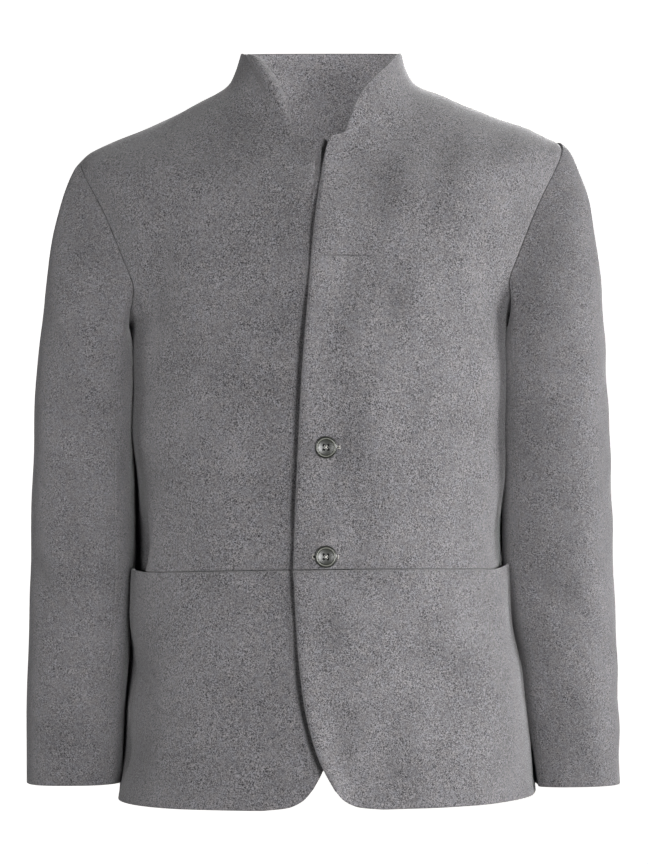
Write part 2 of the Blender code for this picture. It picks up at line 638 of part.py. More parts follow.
def build_collar():
    """The stand round the back of the neck, between the collar parts of the two fronts."""
    ends = SEAM_ANGLE, math.pi - SEAM_ANGLE
    angles = np.array([even_angles(level, *ends, COLLAR_COLUMNS) for level in COLLAR_LEVELS])
    levels = np.broadcast_to(COLLAR_LEVELS[:, None], angles.shape)
    sew("collar", body_point(levels, angles), body_normal(levels, angles))


def build_sleeve(side, seam_through):
    """A two-piece sleeve: a top sleeve round the outside of the arm and an under sleeve against the body."""
    points, normals, turns = sleeve_grid(side)
    through = normals.copy()
    through[0] = seam_through
    front = int(np.argmin(np.abs(turns - SLEEVE_SEAMS[0])))
    back = int(np.argmin(np.abs(turns - SLEEVE_SEAMS[1] - 2 * math.pi)))
    top, under = np.arange(back, front + len(turns) + 1) % len(turns), np.arange(front, back + 1)
    elbow = CAP_ROWS + ELBOW_ROW
    pieces = {
        "top_upper": (slice(elbow + 1), top),
        "top_lower": (slice(elbow, None), top),
        "under": (slice(None), under),
    }
    for piece, (rows, columns) in pieces.items():
        cloth = (grid[rows][:, columns] for grid in (points, normals, through))
        sew(f"sleeve_{side}_{piece}", *cloth, side)


def build_button(name, height):
    """A turned four-hole button with a raised rim, on the left front."""
    level = front_level(height)
    angle = angle_at(level, BUTTON_X)
    normal = body_normal(level, angle)
    seat = body_point(level, angle) + (LAP + SEAM_GAP) * normal
    half_rim = BUTTON_RADIUS - BUTTON_RIM / 2
    profile = (
        (0.0, BUTTON_THICK - BUTTON_DISH),
        (BUTTON_RADIUS - BUTTON_RIM, BUTTON_THICK - BUTTON_DISH),
        (half_rim, BUTTON_THICK),
        (BUTTON_RADIUS, BUTTON_THICK - BUTTON_EDGE),
        (BUTTON_RADIUS, BUTTON_EDGE),
        (BUTTON_RADIUS - 2 * BUTTON_EDGE, 0.0),
        (0.0, 0.0),
    )
    mesh = bpy.data.meshes.new(name)
    mesh.from_pydata([(r, 0, z) for r, z in profile], [(i, i + 1) for i in range(len(profile) - 1)], [])
    mesh.materials.append(HORN)
    button = bpy.data.objects.new(name, mesh)
    PARTS.objects.link(button)
    turn = button.modifiers.new("turned", "SCREW")
    turn.steps = turn.render_steps = BUTTON_STEPS
    turn.use_merge_vertices, turn.merge_threshold = True, BUTTON_WELD
    cut = button.modifiers.new("thread holes", "BOOLEAN")
    cut.object = hole_cutter(name)
    facing = Vector(normal).to_track_quat("Z", "Y").to_matrix().to_4x4()
    button.matrix_world = Matrix.Translation(Vector(seat)) @ facing
    cut.object.matrix_world = button.matrix_world


def hole_cutter(name):
    """Four pins, longer than the button is thick, that cut its thread holes."""
    pins = bmesh.new()
    for x in (-1, 1):
        for y in (-1, 1):
            place = Matrix.Translation((x * BUTTON_HOLE_STEP, y * BUTTON_HOLE_STEP, BUTTON_THICK / 2))
            bmesh.ops.create_cone(
                pins, cap_ends=True, segments=BUTTON_HOLE_SIDES, radius1=BUTTON_HOLE_RADIUS,
                radius2=BUTTON_HOLE_RADIUS, depth=3 * BUTTON_THICK, matrix=place,
            )
    mesh = bpy.data.meshes.new(f"{name}_holes")
    pins.to_mesh(mesh)
    pins.free()
    cutter = bpy.data.objects.new(f"{name}_holes", mesh)
    cutter.hide_render, cutter.display_type = True, "WIRE"
    CUTTERS.objects.link(cutter)
    return cutter


def build_blazer():
    loop_levels, loop_angles = armhole_loop()
    sleeve_normals = sleeve_grid("left")[1][0]
    seam_through = mitre(body_normal(loop_levels, loop_angles), sleeve_normals)
    build_back(seam_through)
    build_collar()
    for side in SIDES:
        build_front(side, seam_through)
        build_skirt(side)
        build_pocket(side)
        build_sleeve(side, seam_through)
    for name, height in BUTTON_HEIGHTS.items():
        build_button(name, height)


for old in list(bpy.data.objects):
    bpy.data.objects.remove(old)
PARTS, CUTTERS = collection("unstructured blazer"), collection("cutters")
WOOL = finish("grey wool flannel", WOOL_COLOUR, WOOL_ROUGHNESS)
HORN = finish("dark horn", BUTTON_COLOUR, BUTTON_ROUGHNESS)
build_blazer()
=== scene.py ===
from math import cos, pi, radians, sin, tau

import bmesh
import bpy
import numpy as np
from mathutils import Matrix, Vector
from mathutils.kdtree import KDTree


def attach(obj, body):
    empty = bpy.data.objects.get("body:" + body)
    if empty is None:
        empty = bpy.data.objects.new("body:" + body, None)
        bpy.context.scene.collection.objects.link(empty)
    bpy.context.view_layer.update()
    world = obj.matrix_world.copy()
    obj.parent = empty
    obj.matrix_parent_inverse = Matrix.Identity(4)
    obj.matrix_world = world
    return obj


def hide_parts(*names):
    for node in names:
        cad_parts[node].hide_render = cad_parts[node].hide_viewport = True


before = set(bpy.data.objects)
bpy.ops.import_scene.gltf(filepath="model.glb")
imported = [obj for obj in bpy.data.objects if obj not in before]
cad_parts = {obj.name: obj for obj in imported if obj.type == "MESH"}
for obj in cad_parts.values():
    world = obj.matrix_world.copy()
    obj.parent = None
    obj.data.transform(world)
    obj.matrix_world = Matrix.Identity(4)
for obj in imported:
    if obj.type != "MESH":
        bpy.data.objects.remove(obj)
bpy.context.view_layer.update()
print("frame loaded,", len(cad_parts), "nodes")

# metres, +Z up, the front faces -Y and the wearer's left is +X
studio = {
    "photoHigh": 864,  # pixels
    "metresPerPixel": 0.00096,  # at the middle of the blazer
    "away": 3.6,
    "aim": (0.0025, 0.0, -0.33),
    "sensor": 36.0,  # mm
    "floorZ": -1.45,  # where the wearer would stand
    "floorRadius": 5.0, "domeRadius": 12.0, "sides": 96,
    "paint": "#f2f1ef", "matt": 0.9,
    "floorGlow": 0.8, "domeGlow": 1.15,  # the floor is pale and the dome behind it plain white
    "roomLight": 0.02,
    # degrees to the right of and above the point it aims at, that point, metres away, size, watts, spread
    "lamps": {
        "key softbox": (20, 0, (0, 0, -0.45), 3.6, 1.0, 19.2, 75),
        "side softbox": (80, 4, (0, 0, -0.33), 3.6, 1.0, 188.0, 180),
        "fill softbox": (-25, 0, (0, 0, -0.45), 3.6, 1.0, 10.3, 75),
        "left softbox": (-78, 18, (0, 0, -0.33), 3.6, 1.0, 34.0, 180),
        "back softbox": (170, 25, (0, 0, -0.33), 3.6, 1.4, 175.0, 180),
        "lamp in the neck": (-10, -38, (-0.03, 0.075, 0.0), 0.16, 0.05, 0.37, 180),
    },
}


def linear(hexColour):
    parts = [int(hexColour[i : i + 2], 16) / 255 for i in (1, 3, 5)]
    return [p / 12.92 if p <= 0.04045 else ((p + 0.055) / 1.055) ** 2.4 for p in parts] + [1.0]


def plugIn(tree, node, inputs):  # each is a value, a socket, or a node, which gives its first output
    for name, given in inputs.items():
        source = getattr(given, "outputs", [given])[0]
        if isinstance(source, bpy.types.NodeSocket):
            tree.links.new(source, node.inputs[name])
        else:
            node.inputs[name].default_value = given


def addNode(tree, kind, inputs, **settings):
    node = tree.nodes.new(f"ShaderNode{kind}")
    for name, value in settings.items():
        setattr(node, name, value)
    plugIn(tree, node, inputs)
    return node


def newMaterial(name):
    material = bpy.data.materials.new(name)
    material.use_nodes = True
    return material, material.node_tree, material.node_tree.nodes["Principled BSDF"]


def makePlain(name, inputs):
    material, tree, shader = newMaterial(name)
    plugIn(tree, shader, inputs)
    return material


def addObject(name, data):
    made = bpy.data.objects.new(name, data)
    bpy.context.scene.collection.objects.link(made)
    return made


def addPiece(name, mesh, replaced=(), at=Matrix()):
    piece = addObject(name, mesh)
    piece.matrix_world = at
    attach(piece, "root")
    if replaced:
        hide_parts(*replaced)
    return piece


def meshFrom(name, shape):
    mesh = bpy.data.meshes.new(name)
    shape.to_mesh(mesh)
    shape.free()
    return mesh


def makeCamera():
    lens = bpy.data.cameras.new("studio camera")
    lens.sensor_fit = "VERTICAL"
    lens.sensor_height = studio["sensor"]
    lens.lens = studio["sensor"] * studio["away"] / (studio["photoHigh"] * studio["metresPerPixel"])
    made = addObject("studio camera", lens)
    made.location = Vector(studio["aim"]) - Vector((0, studio["away"], 0))
    made.rotation_euler = (pi / 2, 0, 0)
    bpy.context.scene.camera = made


def makeLamp(name, right, up, aim, away, size, watts, spread):
    lamp = bpy.data.lights.new(name, "AREA")
    lamp.size, lamp.energy, lamp.spread = size, watts, radians(spread)
    right, up = radians(right), radians(up)
    way = Vector((sin(right) * cos(up), -cos(right) * cos(up), sin(up)))
    made = addObject(name, lamp)
    made.location = Vector(aim) + away * way
    made.rotation_euler = (-way).to_track_quat("-Z", "Y").to_euler()


def addStage(name, shape, finish, glow):
    colour = linear(studio["paint"])
    light = {"Emission Color": colour, "Emission Strength": glow}
    mesh = meshFrom(name, shape)
    mesh.materials.append(makePlain(finish, {"Base Color": colour, "Roughness": studio["matt"], **light}))
    made = addObject(name, mesh)
    made.location.z = studio["floorZ"]
    made.visible_diffuse = made.visible_glossy = False  # seen, but it lights nothing


def makeStudio():
    scene = bpy.context.scene
    scene.view_settings.view_transform = "Standard"
    scene.world = bpy.data.worlds.new("white room")
    scene.world.use_nodes = True
    tree = scene.world.node_tree
    plugIn(tree, tree.nodes["Background"], {"Color": (1, 1, 1, 1), "Strength": studio["roomLight"]})
    for name, settings in studio["lamps"].items():
        makeLamp(name, *settings)
    sides = studio["sides"]
    disc, dome = bmesh.new(), bmesh.new()
    bmesh.ops.create_circle(disc, cap_ends=True, segments=sides, radius=studio["floorRadius"])
    bmesh.ops.create_uvsphere(dome, u_segments=sides, v_segments=sides // 2, radius=studio["domeRadius"])
    addStage("studio_floor", disc, "white painted floor", studio["floorGlow"])  # matt paint, plain and pale
    addStage("studio_backdrop", dome, "white painted dome", studio["domeGlow"])  # evenly lit, with no edge


makeCamera()
makeStudio()
print("camera, lamps and floor set")

# the body is one smooth form through level ovals, hem to collar
bodyForm = {
    "rows": {  # half width, depth ahead and behind, squareness, then the height of its sides, front and back
        "hem": (0.1985, 0.156, 0.130, 2.4, -0.678, -0.678, -0.678),
        "hip": (0.1900, 0.152, 0.126, 2.4, -0.575, -0.575, -0.575),
        "waist": (0.1810, 0.144, 0.110, 2.4, -0.461, -0.457, -0.461),
        "ribs": (0.1800, 0.146, 0.115, 2.4, -0.355, -0.355, -0.352),
        "chest": (0.1830, 0.148, 0.123, 2.4, -0.273, -0.275, -0.262),
        "armpit": (0.1870, 0.146, 0.127, 2.35, -0.222, -0.224, -0.200),
        "across": (0.2040, 0.140, 0.126, 2.25, -0.167, -0.176, -0.143),
        "yoke": (0.2200, 0.131, 0.121, 2.1, -0.114, -0.136, -0.097),
        "shoulder": (0.2330, 0.122, 0.112, 1.95, -0.073, -0.108, -0.063),
        "shoulderEnd": (0.2130, 0.115, 0.104, 1.88, -0.0525, -0.092, -0.042),
        "midShoulder": (0.1560, 0.109, 0.094, 1.88, -0.0283, -0.079, -0.024),
        "neckRoot": (0.1145, 0.104, 0.084, 1.92, -0.0105, -0.067, -0.010),
        "neck": (0.0925, 0.100, 0.076, 2.0, 0.0010, -0.054, 0.003),
        "collarLow": (0.0850, 0.097, 0.073, 2.0, 0.0096, -0.036, 0.013),
        "collarMid": (0.0805, 0.094, 0.070, 2.0, 0.0200, -0.018, 0.026),
        "collarTop": (0.0770, 0.091, 0.066, 2.0, 0.0330, 0.000, 0.040),
    },
    "seamAngle": radians(5),  # side and shoulder seams lie this far behind the sides
    "ease": (  # height, then how far the left and the right side hang out from the form
        (-0.68, 0.0090, -0.0035), (-0.62, 0.0055, -0.0010), (-0.56, 0.0010, 0.0), (-0.50, -0.0030, 0.0),
        (-0.455, -0.0050, 0.0), (-0.38, -0.0030, 0.0), (-0.25, 0.0, 0.0),
    ),
    "easeWide": radians(50),
    # height, and how far a metre to the left lies higher
    "lean": ((-0.68, 0.010), (-0.45, 0.010), (-0.12, 0.022), (-0.04, 0.030), (0.03, 0.002)),
    "armholeTop": 0.6,  # levels above the shoulder
    "notch": 0.06,  # levels to each side of the neck, for the step in the fronts' edges
}
levelOf = {name: float(i) for i, name in enumerate(bodyForm["rows"])}
hemLevel, waistLevel, armpitLevel = levelOf["hem"], levelOf["waist"], levelOf["armpit"]
neckLevel, topLevel = levelOf["neck"], levelOf["collarTop"]
shoulderLevel = levelOf["shoulder"] + bodyForm["armholeTop"]
toNotch, fromNotch = neckLevel - bodyForm["notch"], neckLevel + bodyForm["notch"]
seamAngle = bodyForm["seamAngle"]
sideOf = {"left": 1.0, "right": -1.0}


def leftRight(left, right):
    return {"left": left, "right": right}


cloth = {
    "thick": 0.0020,
    "seamGap": 0.0003,
    "cell": 0.0034,  # size of the mesh's cells away from the edges
    "edgeSteps": (0.0, 0.0003, 0.0007, 0.0012, 0.0018, 0.0026, 0.0038),  # and close to them
    # how deep and how wide a panel's rim turns down into its seam
    "seam": (0.0005, 0.0014), "armhole": (0.0019, 0.0010), "waist": (0.0016, 0.0012),
    "edge": (0.0009, 0.0010),  # or rounds over at a turned edge
    "lapEdge": (0.0042, 0.0038),  # or rolls under, two layers thick
    "rollHigh": (-0.085, -0.065),  # up to the notch in the collar
    "capFade": 0.65, "capFadeHigh": (-0.115, -0.070),  # an armhole's is less deep on top of the shoulder
    "turned": 0.7,  # past this share of its thickness, the inside turns down as well
    "slit": 0.0004, "slitWide": 0.0024,  # the waist seam's sides draw back, which shows as a dark line
    "sharp": radians(60),
    "fine": 400,  # steps along a curve that is measured
    "rimFine": 6,  # and in each cell of a rim
    "nudge": 0.002,  # of level or angle, to read the form's direction
    "still": radians(9), "stillWide": 0.010,  # folds die out this close to a side seam and to an armhole
}


def evenBend(values):  # a curve through the values at 0, 1, 2 and so on, whose bend has no break
    values = np.asarray(values, float)
    count = len(values)
    system = 4 * np.eye(count) + np.eye(count, k=1) + np.eye(count, k=-1)
    system[0, :2] = 1, 0
    system[-1, -2:] = 0, 1
    bends = np.zeros(count)
    bends[1:-1] = 6 * np.diff(values, 2)
    bends = np.linalg.solve(system, bends)

    def at(places):
        places = np.clip(places, 0, count - 1)
        i = np.clip(np.floor(places).astype(int), 0, count - 2)
        u, v = places - i, i + 1 - places
        return v * values[i] + u * values[i + 1] + ((v**3 - v) * bends[i] + (u**3 - u) * bends[i + 1]) / 6

    return at


def smoothCurve(knots, values):  # a smooth curve that never overshoots its values
    knots, values = np.asarray(knots, float), np.asarray(values, float)
    widths = np.diff(knots)
    slopes = np.diff(values) / widths
    tangents = np.zeros(len(values))
    tangents[0], tangents[-1] = slopes[0], slopes[-1]
    for i in range(1, len(values) - 1):
        before, after = slopes[i - 1], slopes[i]
        if before * after > 0:
            tangents[i] = 2 * before * after / (before + after)

    def at(places):
        places = np.clip(places, knots[0], knots[-1])
        i = np.clip(np.searchsorted(knots, places, side="right") - 1, 0, len(widths) - 1)
        u = (places - knots[i]) / widths[i]
        start = (1 + 2 * u) * (1 - u) ** 2 * values[i] + u * (1 - u) ** 2 * widths[i] * tangents[i]
        end = u**2 * (3 - 2 * u) * values[i + 1] + u**2 * (u - 1) * widths[i] * tangents[i + 1]
        return start + end

    return at


def curvesThrough(rows):  # one for each column after the first
    knots, *columns = zip(*rows)
    return [smoothCurve(knots, values) for values in columns]


def smoothStep(start, end, places):
    u = np.clip((places - start) / (end - start), 0, 1)
    return u * u * (3 - 2 * u)


def fadeOut(start, end, places):
    return 1 - smoothStep(start, end, places)


def unit(vectors):
    return vectors / np.linalg.norm(vectors, axis=-1, keepdims=True)


def signedPower(values, power):
    return np.sign(values) * np.abs(values) ** power


def alongLine(points, axis=0):  # distance from the first point, along the line
    steps = np.linalg.norm(np.diff(points, axis=axis), axis=-1)
    return np.insert(np.cumsum(steps, axis=axis), 0, 0.0, axis=axis)


def pairs(angles, levels):
    return np.stack(np.broadcast_arrays(angles, levels), axis=-1)


widthAt, aheadAt, behindAt, squareAt, sideZ, frontZ, backZ = map(evenBend, zip(*bodyForm["rows"].values()))
leanAt = smoothCurve(*zip(*bodyForm["lean"]))
easeAt = dict(zip(sideOf, curvesThrough(bodyForm["ease"])))
fineLevels = np.linspace(hemLevel, topLevel, cloth["fine"] + 1)


def levelAt(heightOf, z):  # the level where the form's side, front or back has this height
    return np.interp(z, heightOf(fineLevels), fineLevels)


def bodyPoint(level, angle):  # angle 0 is the left side, -90 degrees the centre front
    level, angle = np.broadcast_arrays(np.asarray(level, float), np.asarray(angle, float))
    across = np.sin(angle)
    power = 2 / squareAt(level)
    depth = np.where(across < 0, aheadAt(level), behindAt(level))
    middleZ = np.where(across < 0, frontZ(level), backZ(level))
    x = widthAt(level) * signedPower(np.cos(angle), power)
    y = depth * signedPower(across, power)
    return np.stack([x, y, sideZ(level) + (middleZ - sideZ(level)) * across**2], axis=-1)


def bodyWay(level, angle):  # outward direction
    nudge = cloth["nudge"]
    low, high = (np.clip(np.asarray(level) + d, hemLevel, topLevel) for d in (-nudge, nudge))
    around = bodyPoint(level, angle + nudge) - bodyPoint(level, angle - nudge)
    return unit(np.cross(around, bodyPoint(high, angle) - bodyPoint(low, angle)))


def sideEase(angles, heights, side):
    return easeAt[side](heights) * fadeOut(0, bodyForm["easeWide"], np.abs(angles - seamAngle))


def angleAt(level, x):  # on the front of the form, at this distance from the centre line
    share = np.clip(x / widthAt(level), -1, 1)
    return -np.arccos(signedPower(share, squareAt(level) / 2))


def anglesAlong(level, start, end, shares):  # shares of the way along the cloth at one level
    fine = np.linspace(start, end, cloth["fine"] + 1)
    along = alongLine(bodyPoint(level, fine))
    return np.interp(shares * along[-1], along, fine)


def patch(top, bottom, first, last, rows, columns):  # angles and levels between four edges of such pairs
    row, column = rows[:, None, None], columns[None, :, None]
    down = (1 - row) * top[None] + row * bottom[None]
    over = (1 - column) * first[:, None] + column * last[:, None]
    upper = (1 - column) * top[0] + column * top[-1]
    lower = (1 - column) * bottom[0] + column * bottom[-1]
    return np.moveaxis(down + over - (1 - row) * upper - row * lower, -1, 0)


def places(stops, lengths, cell=cloth["cell"]):  # a cell apart through the stops, and closer at both ends
    metres = np.concatenate([[0], np.cumsum(lengths)])
    even = np.linspace(0, metres[-1], round(metres[-1] / cell) + 1)
    near = np.array(cloth["edgeSteps"])
    room = near[-1] + cell / 2
    inner = even[(even > room) & (even < metres[-1] - room)]
    run = np.concatenate([near, inner, metres[-1] - near[::-1]])
    return np.interp(run, metres, stops)


def hang(points, side):  # from the left side to its own, with the lean of the shoulders
    points = points * (sideOf[side], 1, 1)
    points[..., 2] += points[..., 0] * leanAt(points[..., 2])
    return points


# folds as soft troughs: both ends as distance from the centre and height, bow, half width and depth; a minus
# depth is a ridge
folds = {
    ("left", "front"): (
        (0.150, -0.155, 0.160, -0.215, 0.0, 0.016, 0.0040),
        (0.030, -0.085, 0.045, -0.200, 0.0, 0.034, 0.0060),
        (0.075, -0.520, 0.140, -0.585, 0.0, 0.026, 0.0085),
        (0.165, -0.560, 0.150, -0.660, 0.0, 0.024, -0.0040),
        (-0.004, -0.1665, 0.047, -0.1675, 0.001, 0.0012, 0.0022),  # pressed line across the chest
    ),
    ("right", "front"): (
        (0.152, -0.150, 0.163, -0.220, 0.0, 0.018, 0.0055),
        (0.176, -0.560, 0.184, -0.640, 0.0, 0.032, 0.0105),
        (0.092, -0.070, 0.087, -0.100, 0.0, 0.0030, 0.0005),
    ),
    ("left", "back"): (
        (0.150, -0.150, 0.165, -0.250, 0.0, 0.020, 0.0045),
        (0.095, -0.200, 0.108, -0.350, 0.006, 0.024, 0.0042),
        (0.000, -0.052, 0.062, -0.070, 0.0, 0.013, 0.0020),
        (0.050, -0.400, 0.150, -0.430, 0.0, 0.026, 0.0050),
    ),
    ("right", "back"): (
        (0.152, -0.145, 0.164, -0.255, 0.0, 0.020, 0.0045),
        (0.101, -0.215, 0.094, -0.380, 0.005, 0.026, 0.0036),
        (0.040, -0.415, 0.145, -0.440, 0.0, 0.026, 0.0045),
    ),
}
waves = {  # the cloth's own unevenness
    "count": 14, "shortest": 0.045, "longest": 0.15, "high": 0.00045,
    "seeds": {"right": 11, "left": 12, "back": 13, "right sleeve": 14, "left sleeve": 15},
}


def foldDepth(flat, rows):  # flat holds two lengths a point, rows the folds' ends, bow, half width and depth
    depth = np.zeros(flat.shape[:-1])
    for x0, z0, x1, z1, bow, wide, deep in rows:
        start, run = np.array([x0, z0]), np.array([x1 - x0, z1 - z0])
        length = np.linalg.norm(run)
        run = run / length
        along = (flat - start) @ run
        across = (flat - start) @ np.array([-run[1], run[0]])
        share = np.clip(along / length, 0, 1)
        past = along - share * length
        away = np.hypot(across - 4 * bow * share * (1 - share), past)
        depth += deep * np.exp(-((away / wide) ** 2))
    return depth


def waveHeight(flat, panel):
    draw = np.random.RandomState(waves["seeds"][panel])
    height = np.zeros(flat.shape[:-1])
    for _ in range(waves["count"]):
        turn, phase = draw.uniform(0, tau, 2)
        length = draw.uniform(waves["shortest"], waves["longest"])
        along = flat[..., 0] * cos(turn) + flat[..., 1] * sin(turn)
        height += waves["high"] * np.sin(tau * along / length + phase)
    return height


def nearest(points, line):  # distance to a line of points, and which of them is closest
    tree = KDTree(len(line))
    for i, p in enumerate(line):
        tree.insert(p, i)
    tree.balance()
    found = [tree.find(p)[1:] for p in points.reshape(-1, 3)]
    index, distance = (np.array(column).reshape(points.shape[:-1]) for column in zip(*found))
    return distance, index


def denser(line):
    steps = np.arange(len(line))
    fine = np.linspace(0, steps[-1], steps[-1] * cloth["rimFine"] + 1)
    return np.stack([np.interp(fine, steps, column) for column in line.T], axis=1)


def rimSink(points, rims):  # how far the outside and the inside turn in at the first and last row and column
    z = points[..., 2]
    outside, rise, fall = (np.zeros(z.shape) for _ in range(3))
    for line, kind in zip((points[0], points[-1], points[:, 0], points[:, -1]), rims):
        away, _ = nearest(points, denser(line))
        deep, wide = cloth[kind]
        if kind == "lapEdge":
            above = smoothStep(*cloth["rollHigh"], z)
            deep, wide = (own + (plain - own) * above for own, plain in zip(cloth[kind], cloth["edge"]))
        if kind == "armhole":
            deep = deep * (1 - cloth["capFade"] * smoothStep(*cloth["capFadeHigh"], z))
        left = np.clip(1 - away / wide, 0, 1)
        sink = deep * (1 - np.sqrt(1 - left**2) if kind in ("edge", "lapEdge") else left**2)
        outside = np.maximum(outside, sink)
        if kind == "edge":
            rise = np.maximum(rise, sink)
        else:
            fall = np.minimum(fall, cloth["turned"] * cloth["thick"] - sink)
    return outside, rise + fall


def wallMesh(name, outer, inner):
    rows, columns = outer.shape[:2]
    count = rows * columns
    index = np.arange(count).reshape(rows, columns)
    cells = np.stack([index[:-1, :-1], index[:-1, 1:], index[1:, 1:], index[1:, :-1]], axis=-1).reshape(-1, 4)
    rim = np.concatenate([index[0, :-1], index[:-1, -1], index[-1, :0:-1], index[:0:-1, 0]])
    after = np.roll(rim, -1)
    closing = np.stack([after, rim, rim + count, after + count], axis=-1)
    faces = np.concatenate([cells, cells[:, ::-1] + count, closing])
    mesh = bpy.data.meshes.new(name)
    mesh.from_pydata(np.concatenate([outer, inner]).reshape(-1, 3).tolist(), [], faces.tolist())
    shape = bmesh.new()
    shape.from_mesh(mesh)
    bmesh.ops.recalc_face_normals(shape, faces=shape.faces)
    shape.to_mesh(mesh)
    shape.free()
    mesh.shade_smooth()
    mesh.set_sharp_from_angle(angle=cloth["sharp"])
    return mesh


def sewPiece(cut, base, ways, offset, rims, side="left", lift=0.0):
    node = cut.format(side)
    points = base + np.asarray(offset)[..., None] * ways
    points[..., 2] += lift
    through = armholeThrough(base, ways)
    outside, inside = rimSink(points, rims)
    outer = points - outside[..., None] * through
    inner = points - (cloth["thick"] - inside)[..., None] * through
    mesh = wallMesh(f"{node}_cloth", hang(outer, side), hang(inner, side))
    panel = "sleeve" if "sleeve" in node else "body"
    mesh.materials.append(wool["left front" if node == "front_left" else panel])
    # a top sleeve is one cut piece, though its solid is split at the elbow
    replaced = [f"{node}_upper", f"{node}_lower"] if node.endswith("top") else [node]
    piece = addPiece(f"{node}_cloth", mesh, replaced)
    print(node, "sewn,", len(mesh.polygons), "faces")


# carded wool, woven and milled until its fibres felt over: matt, soft, dark and light fibres in every yarn
flannel = {
    "fibreDark": "#29282a",
    "fibreWarm": "#827d7b", "fibreCool": "#7b7c83",  # light fibres
    "grains": {  # size, then the noise's detail, roughness and distortion
        "fibre": (0.0012, 2.0, 0.65, 0.9),  # a tuft of fibres; real ones are 0.3 mm, drawn coarser to show
        "patch": (0.014, 1.0, 0.5, 0.0),  # where the mix runs together
        "cloud": (0.05, 2.0, 0.5, 0.0),
        "tint": (0.006, 3.0, 0.5, 0.0),  # warm and cool by turns
    },
    # contrast of the mix; the sleeves hang behind the lens's sharp plane
    "mix": {"body": (2.2, 5.0), "left front": (2.2, 5.0), "sleeve": (1.6, 3.6)},
    "mixFrom": (0.3, 0.7), "middle": 0.5,  # of the patches' and the fibres' noise
    "cloudy": 0.35, "steady": 0.325,  # share of light fibres that varies, and that is always there
    "roughness": 0.92, "shine": 0.2,
    "fuzz": 0.28, "fuzzSoft": 0.55,
    "bump": 0.0005, "bumpShare": 0.5,
    # painted shade: the cloth's colour darkens along the crease pressed across the chest, standing in for the
    # shade in its groove
    "creaseShade": {"x": (-0.007, 0.047), "z": -0.1666, "wide": 0.0011, "fade": 0.012, "dark": 0.65},
}


def paintCreaseShade(tree, place, colour):  # paints shade into the cloth's colour along the crease across the chest
    line = flannel["creaseShade"]
    axes = addNode(tree, "SeparateXYZ", {0: place}).outputs
    (left, right), z = line["x"], line["z"]
    bounds = (
        ("Z", z - line["wide"], z), ("Z", z + line["wide"], z),
        ("X", left, left + line["fade"]), ("X", right, right - line["fade"]),
    )
    share = line["dark"]
    for axis, none, full in bounds:
        part = addNode(tree, "MapRange", {"Value": axes[axis], "From Min": none, "From Max": full})
        share = addNode(tree, "Math", {0: share, 1: part}, operation="MULTIPLY")
    dark = linear(flannel["fibreDark"])
    return addNode(tree, "Mix", {0: share, 6: colour, 7: dark}, data_type="RGBA").outputs[2]


def makeFlannel(panel):
    material, tree, shader = newMaterial(f"grey wool flannel, milled melange, {panel}")
    place = addNode(tree, "TexCoord", {}).outputs["Object"]
    grain = {}
    for name, (size, detail, rough, bent) in flannel["grains"].items():
        inputs = {"Scale": 1 / size, "Detail": detail, "Roughness": rough, "Distortion": bent}
        grain[name] = addNode(tree, "TexNoise", {"Vector": place, **inputs})
    sockets = "From Min", "From Max", "To Min", "To Max"
    reach = dict(zip(sockets, flannel["mixFrom"] + flannel["mix"][panel]))
    contrast = addNode(tree, "MapRange", {"Value": grain["patch"], **reach})
    centred = addNode(tree, "Math", {0: grain["fibre"], 1: flannel["middle"]}, operation="SUBTRACT")
    spread = addNode(tree, "Math", {0: centred, 1: contrast}, operation="MULTIPLY")
    inputs = {0: grain["cloud"], 1: flannel["cloudy"], 2: flannel["steady"]}
    cloudy = addNode(tree, "Math", inputs, operation="MULTIPLY_ADD")
    share = addNode(tree, "Math", {0: spread, 1: cloudy}, operation="ADD", use_clamp=True)
    dark, warm, cool = (linear(flannel[name]) for name in ("fibreDark", "fibreWarm", "fibreCool"))
    light = addNode(tree, "Mix", {0: grain["tint"], 6: warm, 7: cool}, data_type="RGBA").outputs[2]
    colour = addNode(tree, "Mix", {0: share, 6: dark, 7: light}, data_type="RGBA").outputs[2]
    # the left front's copy of the cloth carries this painted crease shade
    if panel == "left front":
        colour = paintCreaseShade(tree, place, colour)
    inputs = {"Height": grain["fibre"], "Strength": flannel["bumpShare"], "Distance": flannel["bump"]}
    plugIn(tree, shader, {
        "Base Color": colour, "Normal": addNode(tree, "Bump", inputs),
        "Roughness": flannel["roughness"], "Specular IOR Level": flannel["shine"],
        "Sheen Weight": flannel["fuzz"], "Sheen Roughness": flannel["fuzzSoft"],
    })
    return material


wool = {panel: makeFlannel(panel) for panel in flannel["mix"]}

armhole = {
    "ahead": radians(33), "behind": radians(25),  # how far it opens from the side seam
    "round": 0.2,  # share of its height that its round bottom takes
    "squareTop": 0.43,
    "steps": 300,  # on each side
    "mitreLimit": 0.6,
    "turnIn": 0.012,  # the walls of body and sleeve lean into one another over this width
}


def armholeReach(share, widest):
    low = np.sqrt(np.clip(1 - ((armhole["round"] - share) / armhole["round"]) ** 2, 0, 1))
    high = (np.clip(1 - share, 0, 1) / (1 - armhole["round"])) ** armhole["squareTop"]
    return widest * np.where(share < armhole["round"], low, high)


def armholeLevels(shares):  # levels at shares of the way up its front edge
    fine = np.linspace(0, 1, cloth["fine"] + 1)
    levels = armpitLevel + fine * (shoulderLevel - armpitLevel)
    along = alongLine(bodyPoint(levels, seamAngle - armholeReach(fine, armhole["ahead"])))
    return np.interp(shares * along[-1], along, levels)


def sideReach(levels, way):  # how far a panel stops short of the side seam, none outside the armhole
    share = (np.asarray(levels) - armpitLevel) / (shoulderLevel - armpitLevel)
    return np.where((share > 0) & (share < 1), armholeReach(np.clip(share, 0, 1), armhole[way]), 0.0)


